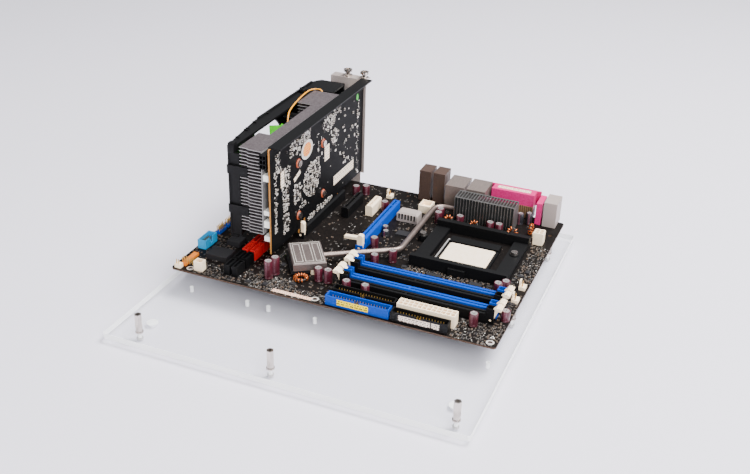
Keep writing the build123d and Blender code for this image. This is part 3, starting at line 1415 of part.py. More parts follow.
def card_parts():
    """Blocks on the card's face at its front end, and the fan wire's header."""
    depth, width = CARD_BLOCK_SIZE
    left = CARD_FACE_X - depth
    parts = [block(left, CARD_FRONT_Y + 1, z, depth, width, height) for z, height in CARD_BLOCKS]
    y, z = FAN_PLUG
    left = CARD_FACE_X - FAN_PLUG_REACH
    width, height = FAN_PLUG_SIZE
    parts.append(block(left, y, z - height / 2, FAN_PLUG_REACH, width, height))
    return parts


def card_power_socket():
    """Six way power socket at the card's front end, wells facing forwards."""
    height = POWER_PLUG_COLUMNS * POWER_PITCH + 2 * POWER_RIM_X
    front = CARD_FRONT_Y - 1
    housing = block(POWER_PLUG_X, front, POWER_PLUG_Z, POWER_PLUG_WIDTH, POWER_PLUG_DEPTH, height)
    inset = (POWER_PITCH - POWER_CELL) / 2
    for column in range(POWER_PLUG_COLUMNS):
        for row in range(2):
            x = POWER_PLUG_X + POWER_RIM_X + row * (POWER_PLUG_CELL + POWER_RIM_X)
            z = POWER_PLUG_Z + POWER_RIM_X + column * POWER_PITCH + inset
            housing -= block(x, front - 1, z, POWER_PLUG_CELL, POWER_CELL_DEPTH + 1, POWER_CELL)
    return housing


# Card cooler


def cooler_base():
    """Plate on the graphics chip with four posts for its screws."""
    half = COOLER_BASE_SIZE / 2
    size = COOLER_BASE_SIZE
    base = block(FIN_RIGHT_X, GPU_Y - half, GPU_Z - half, COOLER_BASE_THICK, size, size)
    start = FIN_RIGHT_X + COOLER_POST_SINK
    length = CARD_FACE_X - start
    for y, z in card_screw_places():
        base += prism_x(start, y, z, COOLER_POST_R, length)
        base -= prism_x(start, y, z, around(SCREW_SHANK_R + SCREW_PLAY), length + 1)
    return base


def cooler_screws():
    """Four screws from the card's back into the cooler's posts."""
    reach = CARD_BACK_X - FIN_RIGHT_X - COOLER_POST_SINK - COOLER_SCREW_GAP
    screw = Rot(0, 90, 0) * pan_screw(reach)
    return [Pos(CARD_BACK_X, y, z) * screw for y, z in card_screw_places()]


def cooler_fins():
    """Stack of level fins joined by the wall of their folded edges."""
    recess_front = FAN_Y - RECESS_HALF
    recess_rear = FAN_Y + RECESS_HALF
    outline = Polyline(
        (FIN_LEFT_X, FIN_FRONT_Y + FIN_STEP),
        (FIN_STEP_X, FIN_FRONT_Y + FIN_STEP),
        (FIN_STEP_X, FIN_FRONT_Y),
        (FIN_RIGHT_X, FIN_FRONT_Y),
        (FIN_RIGHT_X, FIN_REAR_Y),
        (FIN_WIDE_X, FIN_REAR_Y),
        (FIN_WIDE_X, recess_rear),
        (RECESS_X, recess_rear),
        (RECESS_X, recess_front),
        (FIN_LEFT_X, recess_front),
        close=True,
    )
    fin = Pos(0, 0, FIN_BOTTOM_Z) * extrude(make_face(outline), FIN_THICK)
    height = (FIN_COUNT - 1) * FIN_PITCH + FIN_THICK
    wall_x = FIN_RIGHT_X - FIN_TAB_WALL
    pack = block(wall_x, FIN_FRONT_Y, FIN_BOTTOM_Z, FIN_TAB_WALL, FIN_REAR_Y - FIN_FRONT_Y, height)
    pack += [Pos(0, 0, index * FIN_PITCH) * fin for index in range(FIN_COUNT)]
    play = POWER_PLUG_PLAY
    socket_height = POWER_PLUG_COLUMNS * POWER_PITCH + 2 * POWER_RIM_X + 2 * play
    return pack - block(
        POWER_PLUG_X - play,
        CARD_FRONT_Y - 1,
        POWER_PLUG_Z - play,
        POWER_PLUG_WIDTH + 2 * play,
        POWER_PLUG_DEPTH + play,
        socket_height,
    )


def shroud_boss_places():
    """Bosses round the cover's window, as y and z."""
    reach = (SHROUD_HOLE_R + SHROUD_BOSS_FROM_HOLE) * math.sqrt(0.5)
    return [(FAN_Y + sy * reach, FAN_Z + sz * reach) for sy in (-1, 1) for sz in (-1, 1)]


def shroud_outline(inset):
    """Bent outline of the cover, seen from above, at a depth inside its skin."""
    corner_x, corner_y = SHROUD_CORNER
    front = SHROUD_FRONT_Y - (1 if inset else 0)
    end_x = SHROUD_END_X + (1 if inset else 0)
    return [
        (SHROUD_FRONT_X + inset, front),
        (SHROUD_X + inset, SHROUD_KNEE_Y),
        (SHROUD_X + inset, SHROUD_REAR_Y - corner_y - inset / 2),
        (SHROUD_X + corner_x + inset / 2, SHROUD_REAR_Y - inset),
        (end_x, SHROUD_REAR_Y - inset),
    ]


def cooler_shroud():
    """Black cover over the fan: a bent face, lips above and below, a closed end."""
    height = SHROUD_TOP_Z - SHROUD_BOTTOM_Z
    lip_x = SHROUD_FRONT_X + SHROUD_LIP
    end_y = FIN_REAR_Y + SHROUD_END_GAP
    outer = shroud_outline(0) + [(SHROUD_END_X, end_y), (lip_x, end_y), (lip_x, SHROUD_FRONT_Y)]
    inner = shroud_outline(SHROUD_WALL) + [(SHROUD_END_X + 1, SHROUD_FRONT_Y - 1)]
    shell = Pos(0, 0, SHROUD_BOTTOM_Z) * extrude(make_face(Polyline(*outer, close=True)), height)
    core = extrude(make_face(Polyline(*inner, close=True)), height - 2 * SHROUD_WALL)
    shell -= Pos(0, 0, SHROUD_BOTTOM_Z + SHROUD_WALL) * core
    shell -= rod_x(SHROUD_X - 1, FAN_Y, FAN_Z, SHROUD_HOLE_R, SHROUD_LIP + SHROUD_FRONT_X - SHROUD_X)
    notch_length, notch_height = SHROUD_NOTCH
    cut_x = SHROUD_X - 1
    shell -= block(
        cut_x, SHROUD_FRONT_Y - 1, SHROUD_NOTCH_Z, lip_x - cut_x + 1, notch_length + 1, notch_height
    )
    start = SHROUD_X + SHROUD_BOSS_SINK
    for y, z in shroud_boss_places():
        shell += prism_x(start, y, z, SHROUD_BOSS_R, MOTOR_ARM_X - start)
    return shell


def shroud_clips():
    """Two flat clips at the cover's front that reach over the fins."""
    length, thick, height = SHROUD_CLIP
    y = SHROUD_FRONT_Y - SHROUD_CLIP_GAP - thick
    return [block(SHROUD_FRONT_X, y, z, length, thick, height) for z in SHROUD_CLIP_ZS]


def fan_motor():
    """Fixed motor with its shaft, on four arms that stand on the cover's bosses."""
    front = FAN_FRONT_X + MOTOR_FROM_FAN
    motor = prism_x(front, FAN_Y, FAN_Z, MOTOR_R, MOTOR_ARM_X - front, FAN_HUB_SIDES)
    shaft_x = FAN_FRONT_X + SHAFT_FROM_FAN
    motor += prism_x(shaft_x, FAN_Y, FAN_Z, SHAFT_R, front - shaft_x + 1, SHAFT_SIDES)
    for y, z in shroud_boss_places():
        run = math.hypot(y - FAN_Y, z - FAN_Z)
        angle = math.degrees(math.atan2(z - FAN_Z, y - FAN_Y))
        arm = block(0, 0, -MOTOR_ARM_WIDTH / 2, MOTOR_ARM_THICK, run, MOTOR_ARM_WIDTH)
        motor += Pos(MOTOR_ARM_X, FAN_Y, FAN_Z) * Rot(angle, 0, 0) * arm
        motor += prism_x(MOTOR_ARM_X, y, z, SHROUD_BOSS_R, MOTOR_ARM_THICK)
    return motor


def fan_hub(depth):
    """Hub cup, open to the rear, with a bored boss for the shaft."""
    hub = prism_x(0, 0, 0, FAN_HUB_R, depth, FAN_HUB_SIDES)
    hub = chamfer(hub.edges().group_by(Axis.X)[0], FAN_HUB_BEVEL)
    hub -= prism_x(FAN_HUB_FACE, 0, 0, FAN_HUB_R - FAN_HUB_WALL, depth, FAN_HUB_SIDES)
    hub += prism_x(1, 0, 0, FAN_BOSS_R, FAN_BOSS_LENGTH, SHAFT_SIDES)
    bore_r = around(SHAFT_R + PIN_PLAY, SHAFT_SIDES)
    return hub - prism_x(1 + FAN_BOSS_FLOOR, 0, 0, bore_r, FAN_BOSS_LENGTH, SHAFT_SIDES)


def fan_blade(depth):
    """Curved blade that widens and flattens towards its tip."""
    root = Polyline(
        (-5.6, -4.2),
        (-2.4, -2.2),
        (1.2, 1.0),
        (5.6, 6.4),
        (5.6, 4.8),
        (1.2, -0.7),
        (-2.4, -3.8),
        (-5.6, -5.6),
        close=True,
    )
    tip = Polyline(
        (-6.2, -8.6),
        (-2.6, -4.4),
        (1.8, 2.0),
        (5.8, 10.4),
        (5.8, 8.6),
        (1.8, 0.2),
        (-2.6, -6.0),
        (-6.2, -10.2),
        close=True,
    )
    places = ((FAN_BLADE_ROOT_R, root), (FAN_R - FAN_TIP_INSET, tip))
    sections = [
        Plane(origin=(depth / 2, radius, 0), x_dir=(1, 0, 0), z_dir=(0, 1, 0)) * make_face(outline)
        for radius, outline in places
    ]
    return loft(sections, ruled=True)


def fan_rotor():
    """Hub and its blades, turning about X."""
    depth = FAN_REAR_X - FAN_FRONT_X - 1
    rotor = fan_hub(depth)
    blade = fan_blade(depth)
    rotor += [Rot(360 / FAN_BLADES * index, 0, 0) * blade for index in range(FAN_BLADES)]
    return Pos(FAN_FRONT_X, FAN_Y, FAN_Z) * rotor


def fan_wire():
    """Wire from the motor over the fins and down to its header on the card."""
    return bar(bent(WIRE_POINTS, WIRE_RADII, 2), WIRE_R, WIRE_SIDES)


def save_bench():
    save("bench_plate", bench_plate())
    save("bumper_feet", bumper_feet())
    save("board_standoffs", board_standoffs())
    save("standoff_screws", standoff_screws())


def save_board():
    save_on_board("main_board", main_board())
    save_on_board("chips", [board_chips(), gpu_chip()])
    save_on_board("maroon_capacitors", cans(MAROON_CANS, MAROON_CAN_R))
    save_on_board("dark_capacitors", cans(DARK_CANS, DARK_CAN_R))
    save_on_board("copper_coils", copper_coils())
    save_on_board("memory_slots_black", memory_slots(MEMORY_ROWS[0::2]))
    save_on_board("memory_slots_blue", memory_slots(MEMORY_ROWS[1::2]))
    save_on_board("expansion_slot_blue", blue_slot())
    save_on_board("expansion_slots_black", black_slots())
    save_on_board("expansion_slots_cream", cream_slots())
    save_on_board("slot_clip_blue_slot", clip_place(BLUE_SLOT_X) * slot_clip())
    save_on_board("slot_clip_card_slot", clip_place(CARD_X) * slot_clip())
    save_on_board("processor_socket", processor_socket())
    save_on_board("processor_lid", processor_lid())
    save_on_board("socket_lever", socket_lever())
    save_on_board("cooler_frame", cooler_frame())
    save_on_board("regulator_heatsink", regulator_heatsink())
    save_on_board("chipset_heatsink", chipset_heatsink())
    save_on_board("heat_pipe", heat_pipe())


def save_connectors():
    save_on_board("blue_connectors", [blue_drive_connector(), usb_headers()])
    save_on_board("black_connectors", [black_drive_connectors(), port_stand()])
    save_on_board("power_connectors", power_connectors())
    save_on_board("sata_ports_black", sata_ports((0, 1)))
    save_on_board("sata_ports_red", sata_ports((2, 3)))
    save_on_board("cyan_header", cyan_header())
    save_on_board("panel_header", panel_header())
    save_on_board("cream_headers", cream_headers())
    save_on_board("audio_towers", audio_towers())
    save_on_board("lan_ports", lan_ports())
    save_on_board("magenta_ports", [parallel_port(), av_block()])
    save_on_board("grey_ports", [keyboard_ports(), grey_block()])


def save_card():
    save_on_board("card_board", card_board())
    save_on_board("card_bracket", card_bracket())
    save_on_board("thumb_screws", thumb_screws())
    save_on_board("card_stiffener", card_stiffener())
    save_on_board("video_ports", video_ports())
    save_on_board("card_parts", card_parts())
    save_on_board("card_power_socket", card_power_socket())
    save_on_board("cooler_base", cooler_base())
    save_on_board("cooler_screws", [frame_screws(), cooler_screws()])
    save_on_board("cooler_fins", cooler_fins())
    save_on_board("cooler_shroud", cooler_shroud())
    save_on_board("shroud_clips", shroud_clips())
    save_on_board("fan_motor", fan_motor())
    save_on_board("fan_rotor", fan_rotor())
    save_on_board("fan_wire", fan_wire())


save_bench()
save_board()
place_latches()
save_connectors()
save_card()
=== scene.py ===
"""Looks of an open air test bench: a clear plate with a computer board and a graphics card.

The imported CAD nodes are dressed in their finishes. The fine pieces that show from a step away
are modelled on them: sleeved cans, wound coils, pins, small soldered parts, print, labels,
the bent heat pipe and the fan's wire.
"""

from __future__ import annotations

import json
import logging
import math
import random
from collections.abc import Callable, Iterable, Iterator, Sequence
from contextlib import contextmanager
from dataclasses import dataclass, field
from enum import Enum
from itertools import product

import bmesh
import bpy
from mathutils import Matrix, Vector
from mathutils.bvhtree import BVHTree

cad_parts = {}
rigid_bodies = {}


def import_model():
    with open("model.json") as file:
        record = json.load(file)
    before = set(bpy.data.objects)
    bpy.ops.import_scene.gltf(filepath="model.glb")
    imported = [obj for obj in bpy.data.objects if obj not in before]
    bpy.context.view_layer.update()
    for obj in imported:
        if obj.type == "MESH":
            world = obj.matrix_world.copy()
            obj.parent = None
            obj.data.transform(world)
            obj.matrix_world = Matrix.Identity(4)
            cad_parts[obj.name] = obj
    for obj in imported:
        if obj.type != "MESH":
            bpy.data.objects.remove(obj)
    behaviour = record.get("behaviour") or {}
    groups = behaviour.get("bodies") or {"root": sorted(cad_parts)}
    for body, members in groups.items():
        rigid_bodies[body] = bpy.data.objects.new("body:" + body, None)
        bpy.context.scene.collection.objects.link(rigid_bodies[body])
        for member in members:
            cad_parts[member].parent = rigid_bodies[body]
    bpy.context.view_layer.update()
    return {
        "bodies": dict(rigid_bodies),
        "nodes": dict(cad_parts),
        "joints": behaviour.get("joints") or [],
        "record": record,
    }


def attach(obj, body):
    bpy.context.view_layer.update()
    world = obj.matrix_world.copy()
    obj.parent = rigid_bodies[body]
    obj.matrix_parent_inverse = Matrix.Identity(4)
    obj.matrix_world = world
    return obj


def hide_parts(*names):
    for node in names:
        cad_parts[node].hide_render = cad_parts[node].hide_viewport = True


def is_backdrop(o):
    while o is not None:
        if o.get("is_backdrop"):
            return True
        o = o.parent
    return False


LOG = logging.getLogger("test_bench")

MM = 0.001
BOARD_LEFT = -151.5
BOARD_FRONT = -84.5
BOARD_TOP = 28.2
ROOT = "bench"

# How straight a face must look along an axis to be picked.
FACING = 0.9
# Less than any real gap, in metres.
HAIR = 1e-6
# Shares of a face's straightness that tell a sheet's cut edges and its rims.
EDGE_FACING = 0.6
RIM_LIKENESS = 0.97
# Brushed metal's grain is drawn out along Y.
BRUSHED_STRETCH = (1.0, 0.06, 1.0)
# Pads on a masked board: pitch and width of crowded areas in mm, size as a share, and colour.
PAD_PITCH = 2.1
PAD_AREA = 16.0
PAD_SIZE = 0.12
PAD_COLOUR = "#7A7068"
# Legs of small parts: shares of the body's length and height; sizes and room in mm.
LEG_SPREAD = 0.92
LEG_RISE = 0.4
LEG_SIZE = (0.42, 0.9)
LEG_ROOM = 1.6

Pair = tuple[float, float]
Point = tuple[float, float, float]
Colour = tuple[float, float, float, float]
Piece = bpy.types.Object
Socket = bpy.types.NodeSocket
FaceTest = Callable[[Vector, Vector], bool]


def on_board(x: float, y: float, z: float) -> Point:
    """Turn millimetres from the board's front left corner into metres in the part's frame."""
    return ((x + BOARD_LEFT) * MM, (y + BOARD_FRONT) * MM, (z + BOARD_TOP) * MM)


def place_at(x: float, y: float, z: float) -> Matrix:
    """Return the move from the origin to a place in board millimetres."""
    return Matrix.Translation(on_board(x, y, z))


def linear(hex_colour: str) -> Colour:
    """Turn an sRGB hex colour into linear values.

    Args:
        hex_colour: Colour written as #RRGGBB.

    Returns:
        Red, green and blue as linear numbers, and an alpha of 1.
    """
    parts = [int(hex_colour[i : i + 2], 16) / 255 for i in (1, 3, 5)]
    values = [v / 12.92 if v <= 0.04045 else ((v + 0.055) / 1.055) ** 2.4 for v in parts]
    return (values[0], values[1], values[2], 1.0)


# Finishes


class Pattern(Enum):
    """What the surface of a finish shows close up."""

    GRAIN = "grain"
    BRUSHED = "brushed"
    SOLDERED = "soldered"
    PRINT_LINES = "print lines"


class Across(Enum):
    """The two axes that a printed label lies along."""

    ALONG_X_UP_Z = ("X", "Z")
    ALONG_X_UP_Y = ("X", "Y")
    ALONG_Y_UP_Z = ("Y", "Z")


@dataclass(frozen=True)
class Finish:
    """One finish, with the numbers that a shader needs for it; most are real colours, a few carry
    painted highlights and painted shade.

    An empty second colour leaves the surface plain, without its pattern.
    """

    name: str
    colour: str
    second: str
    roughness: float
    grain_mm: float = 0.4
    depth_mm: float = 0.05
    metallic: float = 0.0
    ior: float = 1.5
    coat: float = 0.0
    transmission: float = 0.0
    alpha: float = 1.0
    specular: float = 0.5
    pattern: Pattern = Pattern.GRAIN
    edge: str = ""
    edge_alpha: float = 1.0
    rim_mm: float = 0.0
    face_axis: str = "Z"
    across: Across = Across.ALONG_X_UP_Z
    line_mm: float = 1.6

    def material(self) -> bpy.types.Material:
        """Return the material of this finish, built at its first use."""
        return bpy.data.materials.get(self.name) or Shading(self).build()


@dataclass
class Shading:
    """Lays out the shader nodes of one finish."""

    finish: Finish
    tree: bpy.types.NodeTree = field(init=False)
    shader: bpy.types.Node = field(init=False)
    coords: Socket = field(init=False)

    def build(self) -> bpy.types.Material:
        """Build the material and return it."""
        finish = self.finish
        made = bpy.data.materials.new(finish.name)
        made.use_nodes = True
        made.diffuse_color = linear(finish.colour)
        self.tree = made.node_tree
        self.shader = self.tree.nodes["Principled BSDF"]
        values = {
            "Base Color": linear(finish.colour),
            "Roughness": finish.roughness,
            "Metallic": finish.metallic,
            "IOR": finish.ior,
            "Coat Weight": finish.coat,
            "Transmission Weight": finish.transmission,
            "Specular IOR Level": finish.specular,
            "Alpha": finish.alpha,
        }
        for name, value in values.items():
            self.shader.inputs[name].default_value = value
        self.coords = self.add_node("TexCoord").outputs["Object"]
        colour = self.surface_colour()
        if finish.edge:
            colour = self.edge_colour(colour)
        if colour is not None:
            self.tree.links.new(colour, self.shader.inputs["Base Color"])
        return made

    def add_node(self, kind: str, values: dict[str | int, object] | None = None) -> bpy.types.Node:
        """Add one shader node.

        Args:
            kind: Blender's name for the node, after ShaderNode.
            values: What feeds or sets its inputs, by name or number, and its attributes.

        Returns:
            The new node.
        """
        node = self.tree.nodes.new("ShaderNode" + kind)
        for name, value in (values or {}).items():
            if isinstance(value, Socket):
                self.tree.links.new(value, node.inputs[name])
            elif isinstance(name, int) or name in node.inputs:
                node.inputs[name].default_value = value
            else:
                setattr(node, name, value)
        return node

    def calculate(self, operation: str, *values: Socket | float) -> Socket:
        """Add one calculation with its one or two values and return its result."""
        inputs = dict(enumerate(values))
        return self.add_node("Math", {"operation": operation, **inputs}).outputs[0]

    def surface_colour(self) -> Socket | None:
        """Add the pattern's nodes and return their colour, or None for one even colour."""
        finish = self.finish
        if not finish.second:
            return None
        if finish.pattern is Pattern.PRINT_LINES:
            return self.print_lines()
        mixed = self.mix(self.grain(), linear(finish.colour), linear(finish.second))
        return self.pads(mixed) if finish.pattern is Pattern.SOLDERED else mixed

    def mix(self, factor: Socket, first: Socket | Colour, second: Socket | Colour) -> Socket:
        """Mix two colours, each a colour or the socket that gives it."""
        values = {"data_type": "RGBA", "Factor": factor, 6: first, 7: second}
        return self.add_node("Mix", values).outputs[2]

    def grain(self) -> Socket:
        """Raise the surface by a fine noise and return the noise, from 0 to 1."""
        finish = self.finish
        stretch = BRUSHED_STRETCH if finish.pattern is Pattern.BRUSHED else (1.0, 1.0, 1.0)
        mapping = self.add_node("Mapping", {"Scale": stretch, "Vector": self.coords})
        scale = {"Scale": 1000.0 / finish.grain_mm, "Detail": 3.0, "Roughness": 0.6}
        scale["Vector"] = mapping.outputs["Vector"]
        noise = self.add_node("TexNoise", scale).outputs["Fac"]
        height = {"Strength": 0.6, "Distance": finish.depth_mm * MM, "Height": noise}
        bump = self.add_node("Bump", height)
        self.tree.links.new(bump.outputs["Normal"], self.shader.inputs["Normal"])
        spread = {"From Min": 0.35, "From Max": 0.65, "Value": noise}
        return self.add_node("MapRange", spread).outputs["Result"]

    def pads(self, ground: Socket) -> Socket:
        """Sprinkle tinned pads over a masked board, thicker in some areas.

        Args:
            ground: The mask's own colour.

        Returns:
            The colour with the pads in it.
        """
        cells = self.add_node("TexVoronoi", {"Scale": 1000.0 / PAD_PITCH, "Vector": self.coords})
        dots = self.calculate("LESS_THAN", cells.outputs["Distance"], PAD_SIZE)
        areas = {"Scale": 1000.0 / PAD_AREA, "Detail": 2.0, "Vector": self.coords}
        crowd = self.add_node("TexNoise", areas).outputs["Fac"]
        spread = {"From Min": 0.5, "From Max": 0.6, "To Max": 0.45, "Value": crowd}
        dense = self.add_node("MapRange", spread).outputs["Result"]
        return self.mix(self.calculate("MULTIPLY", dots, dense), ground, linear(PAD_COLOUR))

    def print_lines(self) -> Socket:
        """Lay rows of short plain bars on a label, where a real one has its print."""
        finish = self.finish
        split = self.add_node("SeparateXYZ", {"Vector": self.coords})
        along, up = (split.outputs[axis] for axis in finish.across.value)
        flat = self.add_node("CombineXYZ", {"X": along, "Y": up})
        bars = {
            "offset": 0.37,
            "squash": 0.6,
            "squash_frequency": 3,
            "Scale": 1000.0,
            "Brick Width": finish.line_mm * 1.9,
            "Row Height": finish.line_mm,
            "Mortar Size": finish.line_mm * 0.22,
            "Bias": -0.5,
            "Mortar Smooth": 0.0,
            "Color1": linear(finish.second),
            "Color2": linear(finish.colour),
            "Mortar": linear(finish.colour),
            "Vector": flat.outputs["Vector"],
        }
        return self.add_node("TexBrick", bars).outputs["Color"]

    def edge_colour(self, colour: Socket | None) -> Socket:
        """Give the cut edges of a sheet their own colour, told by the side they face: a board's
        real laminate colour, or a painted highlight on the acrylic's edges and the fins' cut edges.

        Args:
            colour: The colour of the two large faces, or None where it is even.

        Returns:
            The colour of faces and edges together.
        """
        finish = self.finish
        normal = self.add_node("NewGeometry").outputs["True Normal"]
        split = self.add_node("SeparateXYZ", {"Vector": normal})
        size = self.calculate("ABSOLUTE", split.outputs[finish.face_axis])
        is_edge = self.calculate("LESS_THAN", size, EDGE_FACING)
        if finish.rim_mm:
            is_edge = self.calculate("MAXIMUM", is_edge, self.rims(normal))
        if finish.alpha < 1.0:
            span = {"To Min": finish.alpha, "To Max": finish.edge_alpha, "Value": is_edge}
            clear = self.add_node("MapRange", span).outputs["Result"]
            self.tree.links.new(clear, self.shader.inputs["Alpha"])
        faces = colour if colour is not None else linear(finish.colour)
        return self.mix(is_edge, faces, linear(finish.edge))

    def rims(self, normal: Socket) -> Socket:
        """Find the narrow rims where a clear sheet's faces meet its cuts, which take the painted
        highlight of its edges.

        Args:
            normal: The way each face really looks.

        Returns:
            Where the rims are.
        """
        bevel = self.add_node("Bevel", {"Radius": self.finish.rim_mm * MM}).outputs["Normal"]
        turned = {"operation": "DOT_PRODUCT", 0: bevel, 1: normal}
        likeness = self.add_node("VectorMath", turned).outputs["Value"]
        return self.calculate("LESS_THAN", likeness, RIM_LIKENESS)


# Cast acrylic sheet: clear faces that hardly show; its sawn edges and the narrow rims beside them
# are painted near opaque white, a painted highlight of the light that the edges gather.
ACRYLIC = Finish(
    "clear_cast_acrylic", "#D6DAE0", "", 0.04, ior=1.49, alpha=0.1, edge="#FFFFFF",
    edge_alpha=0.95, rim_mm=0.9,
)
# Soft polyurethane bumpers: milky, so they show as pale rings through the plate.
BUMPER = Finish("milky_soft_polyurethane", "#FFFFFF", "", 0.3, ior=1.45, alpha=0.97)
# Nickel plated brass: bright, slightly warm.
NICKEL = Finish("nickel_plated_brass", "#CFC6BF", "", 0.24, metallic=1.0)
# Zinc plated steel of screws and levers: grey, a little cloudy.
STEEL = Finish("zinc_plated_steel", "#CCC9C6", "#A29E9A", 0.34, 1.5, 0.01, metallic=0.65)
# Stamped bracket sheet: warm grey with a pink cast.
BRACKET_STEEL = Finish(
    "stamped_bracket_sheet", "#BFB3AE", "#A89A94", 0.4, 0.8, 0.01, metallic=0.5,
    pattern=Pattern.BRUSHED,
)
# Glass laminate under a black solder mask: dark and warm, with pads, and bare brown at its cuts.
BLACK_BOARD = Finish(
    "black_solder_mask", "#080606", "#14100E", 0.5, 2.4, 0.02, specular=0.1,
    pattern=Pattern.SOLDERED, edge="#4A3A30",
)
# The card's laminate: the same mask, with a bright brown cut edge.
CARD_BOARD = Finish(
    "card_solder_mask", "#040405", "#09090A", 0.6, 2.4, 0.02, specular=0.08, edge="#A9743C",
    face_axis="X",
)
# Moulded black nylon: matt with a fine grain.
BLACK_PLASTIC = Finish("black_moulded_nylon", "#050506", "#0A0A0B", 0.5, specular=0.18)
# Black epoxy of chip bodies: flatter than nylon.
CHIP_EPOXY = Finish("black_chip_epoxy", "#222124", "#201F20", 0.5, 0.3, specular=0.25)
# Black painted sheet of the card's stiffener.
BLACK_SHEET = Finish("black_painted_sheet", "#040405", "#070708", 0.5, 0.5, 0.02, specular=0.18)
# Moulded blue nylon of slots and drive connectors: strong and even.
BLUE_PLASTIC = Finish("blue_moulded_nylon", "#023894", "#0541A2", 0.42, 0.8, 0.03, specular=0.12)
# Natural nylon: warm white with a faint cloudiness.
CREAM_PLASTIC = Finish("natural_nylon", "#FFE9CB", "#F7DFBC", 0.45, 1.6, 0.03, specular=0.2)
# White moulded blocks at the card's front end.
WHITE_PLASTIC = Finish("white_moulded_block", "#F3F1EC", "#E9E5DE", 0.45, 1.2, 0.02)
# Moulded red nylon of the upright drive ports.
RED_PLASTIC = Finish("red_moulded_nylon", "#C01C20", "#BC1A18", 0.4, 1.0, 0.03, specular=0.25)
# Moulded cyan nylon of the box header.
CYAN_PLASTIC = Finish("cyan_moulded_nylon", "#128CC2", "#1A99D0", 0.4, 1.0, 0.03, specular=0.25)
# Moulded orange nylon of the panel header.
ORANGE_PLASTIC = Finish(
    "orange_moulded_nylon", "#E07A24", "#E07D24", 0.42, 1.0, 0.03, specular=0.25
)
# Dark brown shell of the audio jack towers.
BROWN_PLASTIC = Finish(
    "dark_brown_moulded_shell", "#3D302B", "#4A3A33", 0.46, 0.8, 0.04, specular=0.2
)
# Warm grey shell of the keyboard jacks, and the milky block in front of the ports.
GREY_PLASTIC = Finish("warm_grey_moulded_shell", "#978B86", "#968B86", 0.5, 1.0, 0.04, specular=0.3)
# Moulded magenta shell of the wide port.
MAGENTA_PLASTIC = Finish(
    "magenta_moulded_shell", "#BC1B62", "#CE2F79", 0.42, 1.0, 0.03, specular=0.2
)
# Printed plastic sleeve shrunk on an aluminium can.
MAROON_SLEEVE = Finish("maroon_shrunk_sleeve", "#3A0F1A", "#4C1624", 0.32, 1.4, 0.02, coat=0.1)
# The same sleeve in near black.
DARK_SLEEVE = Finish("dark_shrunk_sleeve", "#202024", "#2C2C31", 0.32, 1.4, 0.02, coat=0.25)
# The sleeve's pale polarity stripe.
SLEEVE_STRIPE = Finish(
    "pale_sleeve_stripe", "#6A4751", "#4A1421", 0.4, pattern=Pattern.PRINT_LINES, line_mm=1.2
)
# Bare end of an aluminium can: pale and satin.
CAN_TOP = Finish("bare_aluminium_can", "#C9C5C4", "#B4AFAE", 0.36, 0.6, 0.01, metallic=0.75)
# Enamelled copper wire: orange where the light catches its turns.
COPPER_WIRE = Finish("enamelled_copper_wire", "#D8743A", "#8A3E1C", 0.3, 1.2, 0.01, metallic=0.7)
# Pressed iron powder core inside a coil; the same dark finish is painted shade in the cans' vent
# cross and in the thumb screws' slots.
IRON_CORE_AND_GROOVE_SHADE = Finish("pressed_iron_core_and_groove_shade", "#14100E", "#1E1814", 0.6, 0.5)
# Plated and handled heat pipe: dull, warm grey.
HEAT_PIPE = Finish("dull_plated_pipe", "#7E6F69", "#8E7F79", 0.4, 5.0, 0.02, metallic=0.8)
# Extruded and brushed aluminium.
ALUMINIUM = Finish(
    "extruded_aluminium", "#8D8B8A", "#747170", 0.38, 0.5, 0.02, metallic=0.85,
    pattern=Pattern.BRUSHED,
)
# Anodised plate on the chipset: dark warm grey, brushed.
CHIPSET_ALUMINIUM = Finish(
    "grey_anodised_plate", "#7A6F6D", "#695F5C", 0.36, 0.7, 0.02, metallic=0.6,
    pattern=Pattern.BRUSHED,
)
# Stamped aluminium fins with a pebbled dull surface: their faces, the top one's too, are painted
# dark grey as painted shade of the gaps between the fins, and their lighter cut edges are a painted
# highlight.
FIN_ALUMINIUM = Finish(
    "stamped_aluminium_fins", "#5F585A", "#463E41", 0.45, 1.7, 0.12, metallic=0.35, edge="#918E8E"
)
# Nickelled steel shell of the network ports.
PORT_STEEL = Finish(
    "brushed_port_shell", "#8F817B", "#7C716C", 0.42, 0.6, 0.02, metallic=0.6,
    pattern=Pattern.BRUSHED,
)
# Gold flashed contact pins.
GOLD_PINS = Finish("gold_flashed_pins", "#D9B56A", "#C49C50", 0.3, 1.0, 0.01, metallic=0.8)
# Clear green moulding of the fan.
GREEN_FAN = Finish(
    "clear_green_moulding", "#4CC424", "#5AD331", 0.24, 6.0, 0.01, coat=0.3, transmission=0.1
)
# Yellow plastic insulation of the fan's wire.
YELLOW_WIRE = Finish("yellow_insulation", "#D9951C", "#DB8C20", 0.42, 1.0, 0.01)
# Nickelled processor lid, drawn warm white and nearly matt: a painted reflection of the pale studio
# light.
LID_METAL = Finish(
    "pale_processor_lid", "#FFEBD2", "#F8E2C4", 0.45, 4.0, 0.02, metallic=0.05, specular=0.2
)
# Tinned ends of small parts and solder joints.
TINNED = Finish("tinned_solder", "#D3CDC6", "#CBC4BB", 0.36, 0.5, 0.01, metallic=0.3)
# Solder and ends that have dulled: grey.
DULL_TIN = Finish("dulled_solder", "#6F6862", "#5C554F", 0.42, 0.5, 0.01, metallic=0.4)
# Thin grey screen print that is finer than it can show.
GREY_PRINT = Finish("thin_grey_print", "#8E8A86", "#6F6B67", 0.6, 0.8, 0.01)
# Fired ceramic body of small capacitors.
CERAMIC = Finish("tan_fired_ceramic", "#5E4A3A", "#49382B", 0.5, 0.5, 0.01)
# White screen print on the mask.
WHITE_PRINT = Finish("white_screen_print", "#DEDAD4", "#B3AEA8", 0.6, 0.8, 0.01)
